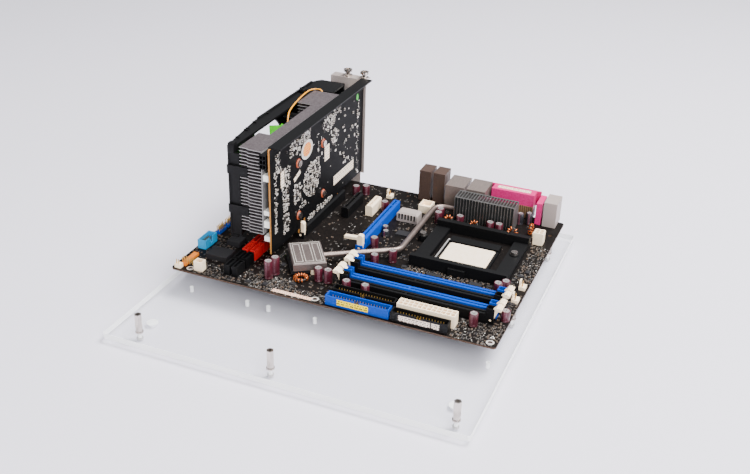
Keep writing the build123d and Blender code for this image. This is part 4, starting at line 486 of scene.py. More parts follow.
# Painted shade: a dark sheet set behind the regulator's fins and the grey block's slots, where
# their gaps lie in shadow.
SHADE_SHEET_IN_GAPS = Finish("painted_shade_in_gaps", "#171818", "#1E1F1F", 0.6, 0.8, 0.01, specular=0.1)
# Dull brass contact tails of the wide port, over their brown base.
BRASS_TAILS = Finish("dull_brass_tails", "#A98A66", "#8F7254", 0.4, 0.8, 0.01, metallic=0.5)
# Moulded brown base under the wide port's tails.
BROWN_BASE = Finish("brown_port_base", "#5A4130", "#4A3528", 0.5, 0.8, 0.03)
# Pressed red fibre of the washers.
RED_FIBRE = Finish("red_fibre_washer", "#B5532F", "#9C4426", 0.55, 0.6, 0.02)
# Paper labels with rows of plain bars in place of their print.
YELLOW_LABEL = Finish(
    "yellow_paper_label", "#FADA1E", "#6B5A20", 0.5, pattern=Pattern.PRINT_LINES, line_mm=2.2,
    specular=0.1,
)
WHITE_LABEL = Finish(
    "white_paper_label", "#F6E4D4", "#54443C", 0.5, pattern=Pattern.PRINT_LINES, line_mm=1.75,
    specular=0.1,
)
CREAM_STRIP = Finish(
    "cream_paper_strip", "#F0CBB2", "#8E4A3A", 0.5, pattern=Pattern.PRINT_LINES,
    across=Across.ALONG_X_UP_Y, line_mm=1.7, specular=0.1,
)
CARD_LABEL = Finish(
    "card_paper_label", "#FAEAD6", "#B7A48E", 0.5, pattern=Pattern.PRINT_LINES,
    across=Across.ALONG_Y_UP_Z, line_mm=2.6, specular=0.1,
)
PORT_LABEL = Finish(
    "port_paper_label", "#EFDFC9", "#B08A6A", 0.5, pattern=Pattern.PRINT_LINES,
    across=Across.ALONG_X_UP_Y, line_mm=2.2,
)
STICKER_MIDDLE = Finish(
    "round_sticker_middle", "#E8A23C", "#D6452C", 0.5, pattern=Pattern.PRINT_LINES,
    across=Across.ALONG_Y_UP_Z, line_mm=2.4,
)
# Pale matt paper that keeps the object's shadow.
PAPER_FLOOR = Finish("pale_paper_floor", "#DCD9E4", "", 0.55, specular=0.3)
# Green paper dot.
GREEN_DOT = Finish("green_paper_dot", "#35C52E", "#2DB528", 0.5, 1.0, 0.01)

NODE_FINISHES: tuple[tuple[Finish, str], ...] = (
    (ACRYLIC, "bench_plate"),
    (BUMPER, "bumper_feet"),
    (NICKEL, "board_standoffs thumb_screws cooler_screws"),
    (STEEL, "standoff_screws socket_lever"),
    (BLACK_BOARD, "main_board"),
    (CHIP_EPOXY, "chips"),
    (MAROON_SLEEVE, "maroon_capacitors"),
    (DARK_SLEEVE, "dark_capacitors"),
    (COPPER_WIRE, "copper_coils"),
    (
        BLACK_PLASTIC,
        "memory_slots_black expansion_slots_black processor_socket cooler_frame "
        "black_connectors sata_ports_black card_power_socket cooler_shroud shroud_clips "
        "fan_motor",
    ),
    (BLUE_PLASTIC, "memory_slots_blue expansion_slot_blue blue_connectors"),
    (
        CREAM_PLASTIC,
        "expansion_slots_cream slot_clip_blue_slot slot_clip_card_slot power_connectors "
        "cream_headers",
    ),
    (LID_METAL, "processor_lid"),
    (ALUMINIUM, "regulator_heatsink cooler_base"),
    (CHIPSET_ALUMINIUM, "chipset_heatsink"),
    (HEAT_PIPE, "heat_pipe"),
    (RED_PLASTIC, "sata_ports_red"),
    (CYAN_PLASTIC, "cyan_header"),
    (ORANGE_PLASTIC, "panel_header"),
    (BROWN_PLASTIC, "audio_towers"),
    (PORT_STEEL, "lan_ports"),
    (MAGENTA_PLASTIC, "magenta_ports"),
    (GREY_PLASTIC, "grey_ports"),
    (CARD_BOARD, "card_board"),
    (BRACKET_STEEL, "card_bracket"),
    (BLACK_SHEET, "card_stiffener"),
    (WHITE_PLASTIC, "video_ports card_parts"),
    (FIN_ALUMINIUM, "cooler_fins"),
    (GREEN_FAN, "fan_rotor"),
    (YELLOW_WIRE, "fan_wire"),
)


def dress_nodes(nodes: dict[str, Piece]) -> None:
    """Give every CAD node its finish."""
    finishes = {name: finish for finish, names in NODE_FINISHES for name in names.split()}
    for name, node in nodes.items():
        dress(node, CREAM_PLASTIC if name.startswith("memory_latch") else finishes[name])


# Modelling by hand


def deselect() -> None:
    """Leave nothing selected, so that the next operator acts on its own piece only."""
    bpy.ops.object.select_all(action="DESELECT")


def select_only(piece: Piece) -> None:
    """Select one piece and make it the active one.

    Args:
        piece: The piece.
    """
    deselect()
    piece.select_set(True)
    bpy.context.view_layer.objects.active = piece


def settle(piece: Piece, name: str) -> Piece:
    """Put a new primitive's place, turn and size into its mesh.

    Args:
        piece: The primitive, selected.
        name: Its name from here on.

    Returns:
        The same piece, its object at the origin.
    """
    piece.name = name
    bpy.ops.object.transform_apply(location=True, rotation=True, scale=True)
    return piece


def start_block(name: str, middle: Point, size: Point, turn: float = 0.0) -> Piece:
    """Start a piece from a block.

    Args:
        name: The piece's name.
        middle: The block's middle, in metres.
        size: Its three sizes, in millimetres.
        turn: Its turn about the upright axis, in radians.

    Returns:
        The block.
    """
    deselect()
    bpy.ops.mesh.primitive_cube_add(size=1.0, location=middle, rotation=(0.0, 0.0, turn))
    piece = bpy.context.object
    piece.scale = [value * MM for value in size]
    return settle(piece, name)


def start_disc(
    name: str,
    middle: Point,
    radius: float,
    height: float,
    sides: int = 28,
    tilt: Point = (0.0, 0.0, 0.0),
) -> Piece:
    """Start a piece from a cylinder.

    Args:
        name: The piece's name.
        middle: The cylinder's middle, in metres.
        radius: Its radius, in millimetres.
        height: Its height, in millimetres.
        sides: How many sides it has.
        tilt: Its turns about the three axes, in radians.

    Returns:
        The cylinder.
    """
    deselect()
    bpy.ops.mesh.primitive_cylinder_add(
        vertices=sides, radius=radius * MM, depth=height * MM, location=middle, rotation=tilt
    )
    return settle(bpy.context.object, name)


def start_ring(
    name: str,
    middle: Point,
    radii: Pair,
    segments: tuple[int, int],
    tilt: Point = (0.0, 0.0, 0.0),
) -> Piece:
    """Start a piece from a torus.

    Args:
        name: The piece's name.
        middle: The ring's middle, in metres.
        radii: The ring's and its section's radius, in millimetres.
        segments: Segments round the ring and round its section.
        tilt: Its turns about the three axes, in radians.

    Returns:
        The ring.
    """
    deselect()
    bpy.ops.mesh.primitive_torus_add(
        major_radius=radii[0] * MM,
        minor_radius=radii[1] * MM,
        major_segments=segments[0],
        minor_segments=segments[1],
        location=middle,
        rotation=tilt,
    )
    return settle(bpy.context.object, name)


@contextmanager
def shaping(piece: Piece) -> Iterator[None]:
    """Hold one piece in edit mode with nothing selected while it is shaped.

    Args:
        piece: The piece.
    """
    select_only(piece)
    bpy.ops.object.mode_set(mode="EDIT")
    bpy.ops.mesh.select_mode(type="FACE")
    bpy.ops.mesh.select_all(action="DESELECT")
    yield
    bpy.ops.object.mode_set(mode="OBJECT")


def pick_faces(piece: Piece, wanted: FaceTest) -> None:
    """Select the faces that pass a test of their middle and normal.

    Args:
        piece: A piece in edit mode.
        wanted: The test.
    """
    mesh = bmesh.from_edit_mesh(piece.data)
    for face in mesh.faces:
        face.select_set(wanted(face.calc_center_median(), face.normal))
    mesh.select_flush_mode()
    bmesh.update_edit_mesh(piece.data)


def cut_across(piece: Piece, axis: int, distance: float) -> None:
    """Cut a piece's faces square to an axis and keep both sides.

    Args:
        piece: A piece in edit mode.
        axis: The axis, from 0 to 2.
        distance: How far along it, in millimetres.
    """
    along = Vector([float(index == axis) for index in range(3)])
    bpy.ops.mesh.select_all(action="SELECT")
    bpy.ops.mesh.bisect(plane_co=along * (distance * MM), plane_no=along)
    bpy.ops.mesh.select_all(action="DESELECT")


def inset_top(piece: Piece, rim: float, drop: float) -> None:
    """Sink a piece's top inside a rim.

    Args:
        piece: The piece.
        rim: The rim's width, in millimetres.
        drop: How far the middle sinks, in millimetres.
    """
    top = max(vertex.co.z for vertex in piece.data.vertices)
    with shaping(piece):
        pick_faces(piece, lambda middle, normal: normal.z > FACING and middle.z > top - HAIR)
        bpy.ops.mesh.inset(thickness=rim * MM)
        bpy.ops.mesh.extrude_region_move(
            TRANSFORM_OT_translate={"value": (0.0, 0.0, -drop * MM)}
        )


def round_edges(piece: Piece, width: float, segments: int = 1) -> None:
    """Break a piece's sharp edges.

    Args:
        piece: The piece.
        width: The bevel's width, in millimetres.
        segments: How many steps the bevel has.
    """
    select_only(piece)
    bevel = piece.modifiers.new("broken_edges", "BEVEL")
    bevel.width = width * MM
    bevel.segments = segments
    bevel.limit_method = "ANGLE"
    bpy.ops.object.modifier_apply(modifier=bevel.name)


def smooth(piece: Piece, degrees: float = 35.0) -> None:
    """Shade a piece smooth, but for edges sharper than an angle."""
    select_only(piece)
    bpy.ops.object.shade_smooth_by_angle(angle=math.radians(degrees))


def dress(piece: Piece, finish: Finish) -> Piece:
    """Give a whole piece one finish.

    Args:
        piece: The piece.
        finish: Its finish.

    Returns:
        The same piece.
    """
    piece.data.materials.clear()
    piece.data.materials.append(finish.material())
    return piece


def dress_part(piece: Piece, finish: Finish, wanted: FaceTest) -> None:
    """Give the faces that pass a test another finish.

    Args:
        piece: A piece in object mode.
        finish: Their finish.
        wanted: The test of a face's middle and normal.
    """
    piece.data.materials.append(finish.material())
    slot = len(piece.data.materials) - 1
    for polygon in piece.data.polygons:
        if wanted(polygon.center, polygon.normal):
            polygon.material_index = slot


def copy_at(piece: Piece, place: Matrix) -> Piece:
    """Copy a piece with a mesh of its own, and move the copy's mesh.

    Args:
        piece: The piece to copy.
        place: Where its mesh goes, in metres.

    Returns:
        The copy, its object at the origin.
    """
    copy = piece.copy()
    copy.data = piece.data.copy()
    copy.data.transform(place)
    bpy.context.collection.objects.link(copy)
    return copy


def shift(x: float, y: float, z: float) -> Matrix:
    """Return a move by a distance in millimetres."""
    return Matrix.Translation((x * MM, y * MM, z * MM))


def join(name: str, pieces: Sequence[Piece]) -> Piece:
    """Join several pieces into one.

    Args:
        name: The name of the joined piece.
        pieces: The pieces, of which the first keeps its material order.

    Returns:
        The joined piece.
    """
    deselect()
    for piece in pieces:
        piece.select_set(True)
    bpy.context.view_layer.objects.active = pieces[0]
    if len(pieces) > 1:
        bpy.ops.object.join()
    joined = bpy.context.view_layer.objects.active
    joined.name = name
    return joined


def drop_pattern(piece: Piece) -> None:
    """Delete a piece that was only copied from.

    Args:
        piece: The piece.
    """
    mesh = piece.data
    bpy.data.objects.remove(piece)
    bpy.data.meshes.remove(mesh)


def copies(pattern: Piece, places: Iterable[Matrix]) -> list[Piece]:
    """Copy a piece to several places and delete the one that was copied from.

    Args:
        pattern: The piece to copy.
        places: Where the copies go, in metres.

    Returns:
        The copies.
    """
    made = [copy_at(pattern, place) for place in places]
    drop_pattern(pattern)
    return made


def open_middle(piece: Piece, axis: int, rim: float) -> Piece:
    """Cut the middle out of a flat piece and leave a rim.

    Args:
        piece: The piece.
        axis: The axis across it, from 0 to 2.
        rim: The rim's width, in millimetres.

    Returns:
        The same piece.
    """
    with shaping(piece):
        pick_faces(piece, lambda middle, normal: abs(normal[axis]) > FACING)
        bpy.ops.mesh.inset(thickness=rim * MM)
        bpy.ops.mesh.bridge_edge_loops()
    return piece


def start_curve(
    name: str, route: Sequence[Point], radius: float, steps: int, round_steps: int
) -> Piece:
    """Start a piece from a smooth round curve.

    Args:
        name: The piece's name.
        route: The points that pull the curve, in board millimetres.
        radius: Its radius, in millimetres.
        steps: Steps between two points.
        round_steps: Steps round its section.

    Returns:
        The curve.
    """
    data = bpy.data.curves.new(name, "CURVE")
    data.dimensions = "3D"
    data.resolution_u = steps
    data.bevel_depth = radius * MM
    data.bevel_resolution = round_steps
    data.use_fill_caps = True
    line = data.splines.new("NURBS")
    line.points.add(len(route) - 1)
    for point, place in zip(line.points, route):
        point.co = (*on_board(*place), 1.0)
    line.order_u = 3
    line.use_endpoint_u = True
    curve = bpy.data.objects.new(name, data)
    bpy.context.collection.objects.link(curve)
    return curve


def report(piece: Piece, body: str = ROOT) -> Piece:
    """Let a finished piece ride on its body, and log it.

    Args:
        piece: The piece.
        body: The body that carries it.

    Returns:
        The same piece.
    """
    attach(piece, body)
    LOG.info("%s: %d faces", piece.name, len(piece.data.polygons))
    return piece


# Cans and coils

MAROON_CAN_PLACES = (
    (88.0, 21.6, 17.4),
    (90.2, 30.4, 17.4),
    (130.0, 36.6, 13.0),
    (139.2, 37.0, 13.0),
    (160.6, 28.65, 12.0),
    (178.4, 28.65, 12.0),
    (277.9, 25.2, 12.0),
    (300.4, 43.6, 10.0),
    (282.2, 82.0, 12.0),
    (286.8, 91.4, 10.0),
    (151.4, 114.6, 11.0),
    (164.2, 84.2, 11.0),
    (177.2, 96.4, 12.0),
    (189.2, 190.0, 12.0),
    (188.4, 198.6, 12.0),
    (211.2, 191.6, 12.0),
    (242.2, 191.2, 12.0),
    (251.2, 191.4, 12.0),
    (130.6, 192.6, 10.0),
    (89.6, 214.0, 10.0),
    (98.6, 219.0, 10.0),
)
DARK_CAN_PLACES = (
    (264.4, 223.0, 12.0),
    (272.2, 227.4, 12.0),
    (148.6, 150.0, 6.0),
    (152.6, 141.0, 6.0),
)


@dataclass
class CanGroup:
    """Electrolytic cans in a printed sleeve: middle and height of each, in board millimetres."""

    name: str
    node: str
    sleeve: Finish
    radius: float
    places: tuple[Point, ...]
    stripe: Pair = (-1.7, -1.2)
    cuts: Point = (1.3, 2.1, 1.7)
    crimp: float = 1.7
    rim: float = 0.75

    def build(self) -> None:
        """Model one can of each height, copy it to its places and join them."""
        patterns = {height: self.can(height) for height in {place[2] for place in self.places}}
        cans = []
        for index, (x, y, height) in enumerate(self.places):
            turn = Matrix.Rotation(0.35 * (index % 3 - 1), 4, "Z")
            cans.append(copy_at(patterns[height], place_at(x, y, 0.0) @ turn))
        for pattern in patterns.values():
            drop_pattern(pattern)
        joined = join(self.name, cans)
        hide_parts(self.node)
        report(joined)

    def can(self, height: float) -> Piece:
        """Model one can at the origin.

        Args:
            height: Its height, in millimetres.

        Returns:
            The can.
        """
        can = start_disc("can", (0.0, 0.0, height / 2 * MM), self.radius, height)
        round_edges(can, 0.45, 2)
        inset_top(can, 0.35, 0.25)
        with shaping(can):
            for cut in self.cuts:
                cut_across(can, 2, cut)
        self.pinch(can)
        dress(can, self.sleeve)
        dress_part(can, SLEEVE_STRIPE, self.on_stripe)
        rim = self.radius - self.rim
        dress_part(can, CAN_TOP, lambda middle, normal: middle.xy.length < rim * MM)
        smooth(can, 40.0)
        return join("can", [can, self.vent(height, 0.0), self.vent(height, math.pi / 2)])

    def pinch(self, can: Piece) -> None:
        """Draw the sleeve in where the can is crimped."""
        for vertex in can.data.vertices:
            if abs(vertex.co.z - self.crimp * MM) < HAIR:
                vertex.co.xy *= 0.93

    def on_stripe(self, middle: Vector, normal: Vector) -> bool:
        """Tell whether a face of the sleeve is on its stripe."""
        angle = math.atan2(middle.y, middle.x)
        return abs(normal.z) < 0.5 and self.stripe[0] < angle < self.stripe[1]

    def vent(self, height: float, turn: float) -> Piece:
        """Model one dark line of painted shade in the cross that is pressed into a can's top.

        Args:
            height: The can's height, in millimetres.
            turn: The line's turn about the can's axis, in radians.

        Returns:
            The line.
        """
        size = (self.radius * 1.1, 0.3, 0.12)
        line = start_block("vent_line", (0.0, 0.0, (height - 0.22) * MM), size, turn)
        round_edges(line, 0.05)
        return dress(line, IRON_CORE_AND_GROOVE_SHADE)


@dataclass
class Coils:
    """Ring cores wound with enamelled wire: middle and ring radius, in board millimetres."""

    flat: Point = (115.5, 30.6, 5.2)
    leaning: tuple[Point, ...] = (
        (199.8, 189.6, 3.4),
        (226.4, 189.4, 3.4),
        (265.0, 190.0, 4.0),
    )
    lean: float = math.radians(58)
    standing: Point = (280.2, 203.6, 4.4)
    section: float = 2.1
    wire: float = 0.6
    spacing: float = 4.4
    slant: float = 0.12

    def build(self) -> None:
        """Wind the coils, set them in their places and join them."""
        x, y, radius = self.flat
        coils = [self.coil(radius, place_at(x, y, self.section))]
        for index, (x, y, radius) in enumerate(self.leaning):
            rise = (radius + self.section) * math.sin(self.lean)
            rise += self.section * math.cos(self.lean)
            turn = Matrix.Rotation(self.lean, 4, "X") @ Matrix.Rotation(index, 4, "Z")
            coils.append(self.coil(radius, place_at(x, y, rise) @ turn))
        x, y, radius = self.standing
        apothem = (radius + self.section) * math.cos(math.pi / 10)
        place = place_at(x, y, apothem) @ Matrix.Rotation(math.pi / 2, 4, "Y")
        coils.append(self.coil(radius, place))
        joined = join("wound_coils", coils)
        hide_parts("copper_coils")
        report(joined)

    def coil(self, radius: float, place: Matrix) -> Piece:
        """Wind one coil.

        Args:
            radius: Radius of its ring, in millimetres.
            place: Where it goes.

        Returns:
            The coil in its place.
        """
        loop = self.section - self.wire
        core = dress(start_ring("coil", (0, 0, 0), (radius, loop - 0.6), (24, 8)), IRON_CORE_AND_GROOVE_SHADE)
        tilt = (math.pi / 2, 0.0, 0.0)
        turn = start_ring("turn", (radius * MM, 0, 0), (loop, self.wire), (14, 6), tilt)
        dress(turn, COPPER_WIRE)
        smooth(turn, 60.0)
        count = int(2 * math.pi * radius / (self.spacing * self.wire))
        lean = Matrix.Rotation(self.slant, 4, "X")
        steps = (2 * math.pi * index / (count + 1) for index in range(count))
        turns = copies(turn, (Matrix.Rotation(step, 4, "Z") @ lean for step in steps))
        coil = join("coil", [core, *turns])
        coil.data.transform(place)
        return coil


# Pins


@dataclass(frozen=True)
class PinField:
    """A rectangle of pins: first pin, counts, floor and tips, in board millimetres."""

    first: Pair
    counts: tuple[int, int]
    floor: float
    top: float
    pitch: float = 2.54

    def spots(self) -> Iterator[Pair]:
        """Give the place of each pin, column by column."""
        for column, row in product(range(self.counts[0]), range(self.counts[1])):
            yield self.first[0] + column * self.pitch, self.first[1] + row * self.pitch


@dataclass
class Pins:
    """All bare contact pins of the board's headers and drive connectors."""

    width: float = 0.64
    fields: tuple[PinField, ...] = (
        PinField((157.2, 5.8), (20, 2), 2.4, 7.4),
        PinField((157.2, 18.8), (20, 2), 2.4, 7.4),
        PinField((217.0, 5.4), (17, 2), 2.4, 7.4),
        PinField((7.1, 8.9), (9, 2), 2.5, 8.4),
        PinField((3.9, 75.3), (2, 5), 2.5, 8.4),
        PinField((3.9, 91.3), (2, 5), 2.5, 8.4),
        PinField((5.2, 47.0), (2, 5), 2.4, 7.0),
        PinField((300.0, 98.2), (1, 3), 3.2, 8.2, 1.6),
        PinField((300.0, 74.2), (1, 3), 3.2, 8.2, 1.6),
        PinField((124.4, 220.2), (1, 3), 3.2, 8.2, 1.6),
        PinField((4.6, 2.9), (2, 1), 4.0, 8.6, 2.2),
    )

    def build(self) -> None:
        """Model one pin for each field's height and copy it over the field."""
        pins = []
        for pin_field in self.fields:
            places = (place_at(x, y, pin_field.floor) for x, y in pin_field.spots())
            pins += copies(self.pin(pin_field.top - pin_field.floor), places)
        report(join("contact_pins", pins))

    def pin(self, height: float) -> Piece:
        """Model one square pin with a drawn in tip.

        Args:
            height: Its height, in millimetres.

        Returns:
            The pin, standing at the origin.
        """
        size = (self.width, self.width, height)
        pin = start_block("pin", (0.0, 0.0, height / 2 * MM), size)
        with shaping(pin):
            cut_across(pin, 2, height - 0.6)
            pick_faces(pin, lambda middle, normal: normal.z > FACING)
            bpy.ops.transform.resize(
                value=(0.5, 0.5, 1.0), center_override=(0.0, 0.0, height * MM)
            )
        return dress(pin, GOLD_PINS)


# The heat pipe


@dataclass
class HeatPipe:
    """Bent pipe from the chipset plate to the regulator's fins, in board millimetres."""

    radius: float = 2.58
    height: float = 8.2
    route: tuple[Pair, ...] = (
        (101.25, 54.35),
        (133.0, 75.6),
        (169.6, 100.1),
        (180.3, 107.27),
        (180.22, 120.1),
        (180.0, 155.0),
        (179.77, 186.8),
        (179.7, 210.75),
        (203.7, 210.75),
        (230.0, 210.75),
        (257.0, 210.75),
    )

    def build(self) -> None:
        """Sweep the pipe along its route and turn it into a mesh."""
        route = [(x, y, self.height) for x, y in self.route]
        select_only(start_curve("bent_heat_pipe", route, self.radius, 8, 5))
        bpy.ops.object.convert(target="MESH")
        pipe = bpy.context.object
        dress(pipe, HEAT_PIPE)
        smooth(pipe, 50.0)
        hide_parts("heat_pipe")
        report(pipe)


# Labels, washers and marks


@dataclass(frozen=True)
class LabelPlace:
    """One paper label: name, middle and sizes in board millimetres, and its paper."""

    name: str
    middle: Point
    size: Point
    paper: Finish
    lean: float = 0.0


@dataclass
class Labels:
    """Paper labels on the connectors, the board's edge, the ports and the card."""

    back: float = 81.2
    paper: float = 0.1
    places: tuple[LabelPlace, ...] = (
        LabelPlace("blue_connector_label", (177.6, 2.55, 4.7), (29.0, 0.1, 5.6), YELLOW_LABEL),
        LabelPlace("black_connector_label", (233.6, 2.15, 4.6), (28.0, 0.1, 5.2), WHITE_LABEL),
        LabelPlace("black_connector_tag", (252.2, 2.15, 4.6), (7.0, 0.1, 5.2), WHITE_LABEL),
        LabelPlace("board_edge_strip", (119.6, 4.6, 0.06), (38.0, 4.4, 0.1), CREAM_STRIP),
        LabelPlace("magenta_port_label", (250.4, 244.8, 26.05), (34.0, 5.6, 0.1), PORT_LABEL),
        LabelPlace("card_long_label", (81.25, 199.2, 29.6), (0.1, 49.6, 10.0), CARD_LABEL),
        LabelPlace("card_tall_label", (81.25, 158.4, 67.3), (0.1, 10.6, 15.8), CARD_LABEL),
        LabelPlace("card_tilted_label", (81.25, 93.5, 68.6), (0.1, 13.6, 4.2), CARD_LABEL, 0.35),
        LabelPlace("card_front_block", (81.25, 64.3, 77.3), (0.1, 6.6, 15.6), CARD_LABEL),
    )

    def build(self) -> None:
        """Lay each label, then the round ones."""
        for place in self.places:
            report(self.label(place))
        self.sticker()
        self.dot()

    def label(self, place: LabelPlace) -> Piece:
        """Cut one paper label, with a narrow border inset on its large faces.

        Args:
            place: Where it is and how large.

        Returns:
            The label.
        """
        label = start_block(place.name, on_board(*place.middle), place.size)
        thin = place.size.index(min(place.size))
        with shaping(label):
            pick_faces(label, lambda middle, normal: abs(normal[thin]) > FACING)
            bpy.ops.mesh.inset(thickness=0.25 * MM)
        if place.lean:
            there = place_at(*place.middle)
            label.data.transform(there @ Matrix.Rotation(place.lean, 4, "X") @ there.inverted())
        return dress(label, place.paper)

    def sticker(self) -> None:
        """Lay the oval sticker on the card: a pale ring round a bright middle."""
        outer = self.oval("round_sticker", (114.4, 87.3), (12.0, 9.4), 0.0)
        middle = self.oval("sticker_middle", (114.4, 87.3), (8.4, 6.6), 0.08)
        dress(outer, WHITE_PRINT)
        dress(middle, STICKER_MIDDLE)
        report(join("round_sticker", [outer, middle]))

    def dot(self) -> None:
        """Lay the small green dot near the card's bracket."""
        report(dress(self.oval("green_dot", (231.4, 100.4), (2.6, 3.4), 0.0), GREEN_DOT))

    def oval(
        self, name: str, middle: Pair, half: Pair, lift: float
    ) -> Piece:
        """Cut an oval paper disc that lies on the card's back.

        Args:
            name: The piece's name.
            middle: Its middle along the card and its height.
            half: Its half sizes along the card and upright.
            lift: How far it stands off the card.

        Returns:
            The disc.
        """
        centre = place_at(self.back + self.paper / 2 + lift, *middle)
        disc = start_disc(name, (0.0, 0.0, 0.0), 1.0, self.paper, 32, (0.0, math.pi / 2, 0.0))
        with shaping(disc):
            pick_faces(disc, lambda place, normal: abs(normal.x) > FACING)
            bpy.ops.mesh.inset(thickness=0.08 * MM)
        stretch = Matrix.Diagonal((1.0, half[0], half[1], 1.0))
        disc.data.transform(centre @ stretch)
        return disc


@dataclass
class CardWashers:
    """Red fibre washers under the four cooler screws on the card's back."""

    back: float = 81.2
    places: tuple[Pair, ...] = (
        (96.05, 80.35),
        (149.35, 80.35),
        (96.05, 27.05),
        (149.35, 27.05),
    )
    radius: float = 4.4
    bore: float = 2.2
    thick: float = 0.5

    def build(self) -> None:
        """Cut one washer and copy it to the four screws."""
        places = [place_at(self.back + self.thick / 2, y, z) for y, z in self.places]
        report(join("fibre_washers", copies(self.washer(), places)))

    def washer(self) -> Piece:
        """Bore one washer, its axis across the card, and return it at the origin."""
        washer = start_disc(
            "washer", (0, 0, 0), self.radius, self.thick, 24, (0.0, math.pi / 2, 0.0)
        )
        open_middle(washer, 0, self.radius - self.bore)
        round_edges(washer, 0.1)
        return dress(washer, RED_FIBRE)


@dataclass
class ChipsetMarks:
    """Shallow frames on the chipset plate, in place of its etched words."""

    middle: Pair = (107.9, 58.8)
    top: float = 12.0
    turn: float = math.radians(33.8)
    frames: tuple[tuple[float, float, float, float], ...] = (
        (0.0, 0.0, 27.4, 38.6),
        (-8.6, 0.0, 6.4, 33.0),
        (0.4, 0.0, 7.6, 33.0),
        (9.0, 0.0, 5.6, 33.0),
    )

    def build(self) -> None:
        """Cut each frame from a flat block and turn them with the plate."""
        frames = []
        for x, y, width, depth in self.frames:
            frame = start_block("etched_frame", (x * MM, y * MM, 0.0), (width, depth, 0.1))
            frames.append(dress(open_middle(frame, 2, 0.45), TINNED))
        joined = join("etched_frames", frames)
        place = place_at(*self.middle, self.top + 0.05)
        joined.data.transform(place @ Matrix.Rotation(self.turn, 4, "Z"))
        report(joined)


@dataclass
class BoardMarks:
    """Tinned rings round the front fixing holes, and the pale triangle in the corner."""

    holes: tuple[Pair, ...] = ((16.51, 6.35), (140.97, 6.35), (298.45, 6.35))
    radius: float = 3.5
    rim: float = 1.35
    triangle: Pair = (298.2, 14.2)

    def build(self) -> None:
        """Cut the rings and the triangle."""
        ring = open_middle(start_disc("ring", (0, 0, 0), self.radius, 0.08, 24), 2, self.rim)
        places = [place_at(x, y, 0.04) for x, y in self.holes]
        report(join("tinned_hole_rings", copies(dress(ring, TINNED), places)))
        report(self.corner_mark())

    def corner_mark(self) -> Piece:
        """Cut the triangle's outline and return it."""
        mark = open_middle(start_disc("corner_triangle", (0, 0, 0), 2.6, 0.08, 3), 2, 0.6)
        mark.data.transform(place_at(*self.triangle, 0.04))
        return dress(mark, WHITE_PRINT)


# Trim of the heatsink, the ports, the cover and the bracket


def board_block(name: str, low: Point, high: Point) -> Piece:
    """Start a block between two corners in board millimetres.

    Args:
        name: The piece's name.
        low: Its lowest corner.
        high: Its highest corner.

    Returns:
        The block.
    """
    middle = tuple((a + b) / 2 for a, b in zip(low, high))
    size = tuple(b - a for a, b in zip(low, high))
    return start_block(name, on_board(*middle), size)


@dataclass
class Comb:
    """Upright ribs in front of a back, in board millimetres: a real base, or a dark sheet of
    painted shade in the gaps.
    """

    name: str
    left: float
    right: float
    front: float
    bottom: float
    top: float
    ribs: int
    rib_width: float
    back: Finish
    rib: Finish
    rib_depth: float = 0.6

    def build(self) -> None:
        """Model the back and one rib, and copy the rib along it."""
        back = board_block(
            self.name,
            (self.left + 0.2, self.front + self.rib_depth - 0.2, self.bottom + 0.1),
            (self.right - 0.2, self.front + self.rib_depth - 0.05, self.top - 0.1),
        )
        dress(back, self.back)
        rib = board_block(
            "rib",
            (self.left, self.front, self.bottom),
            (self.left + self.rib_width, self.front + self.rib_depth, self.top),
        )
        round_edges(rib, 0.1)
        dress(rib, self.rib)
        pitch = (self.right - self.left - self.rib_width) / (self.ribs - 1)
        ribs = copies(rib, (shift(index * pitch, 0, 0) for index in range(self.ribs)))
        report(join(self.name, [back, *ribs]))


@dataclass
class CoverTrim:
    """Front panel, hook, ribs, boss and lip of the card's black cover, in board millimetres."""

    knee: Pair = (31.0, 108.0)
    front: Pair = (38.0, 43.6)
    top: float = 110.0
    rib_places: tuple[float, ...] = (61.0, 80.0, 84.0, 100.0, 126.0)
    boss: Pair = (37.2, 196.0)

    def build(self) -> None:
        """Model the pieces and join them."""
        pieces = [self.panel(), self.hook(), self.bossed(), self.lip()]
        pieces += [self.rib(y) for y in self.rib_places]
        trim = dress(join("cover_trim", pieces), BLACK_PLASTIC)
        smooth(trim, 40.0)
        report(trim)

    def panel(self) -> Piece:
        """Model the panel that closes the cover's front end, with its sunk middle."""
        panel = board_block("panel", (38.2, 43.5, 22.1), (49.7, 45.1, 103.6))
        with shaping(panel):
            pick_faces(panel, lambda middle, normal: normal.y < -FACING)
            bpy.ops.mesh.inset(thickness=1.1 * MM)
            bpy.ops.mesh.extrude_region_move(
                TRANSFORM_OT_translate={"value": (0.0, 0.5 * MM, 0.0)}
            )
        return panel

    def hook(self) -> Piece:
        """Model the blunt hook at the cover's upper front corner."""
        hook = board_block("hook", (38.3, 42.3, 103.8), (45.6, 51.0, 113.0))
        with shaping(hook):
            pick_faces(hook, lambda middle, normal: normal.z > FACING)
            bpy.ops.transform.resize(
                value=(0.8, 0.7, 1.0), center_override=on_board(42.0, 44.0, 113.0)
            )
        round_edges(hook, 0.8, 2)
        return hook

    def rib(self, y: float) -> Piece:
        """Model one short rib across the cover's upper edge.

        Args:
            y: Where it starts along the cover.

        Returns:
            The rib.
        """
        share = min(1.0, (y - self.front[1]) / (self.knee[1] - self.front[1]))
        x = self.front[0] + share * (self.knee[0] - self.front[0])
        rib = board_block("rib", (x + 0.1, y, self.top), (x + 4.0, y + 2.0, self.top + 1.2))
        round_edges(rib, 0.4, 2)
        return rib

    def bossed(self) -> Piece:
        """Model the round screw boss near the cover's rear end."""
        middle = on_board(*self.boss, self.top + 2.1)
        boss = start_disc("boss", middle, 3.9, 4.2, 24)
        round_edges(boss, 0.5, 2)
        inset_top(boss, 1.5, 2.0)
        return boss

    def lip(self) -> Piece:
        """Model the rounded lip along the cover's upper edge."""
        lip = board_block("lip", (31.1, 110.0, 110.0), (33.4, 226.0, 111.6))
        round_edges(lip, 0.7, 3)
        return lip


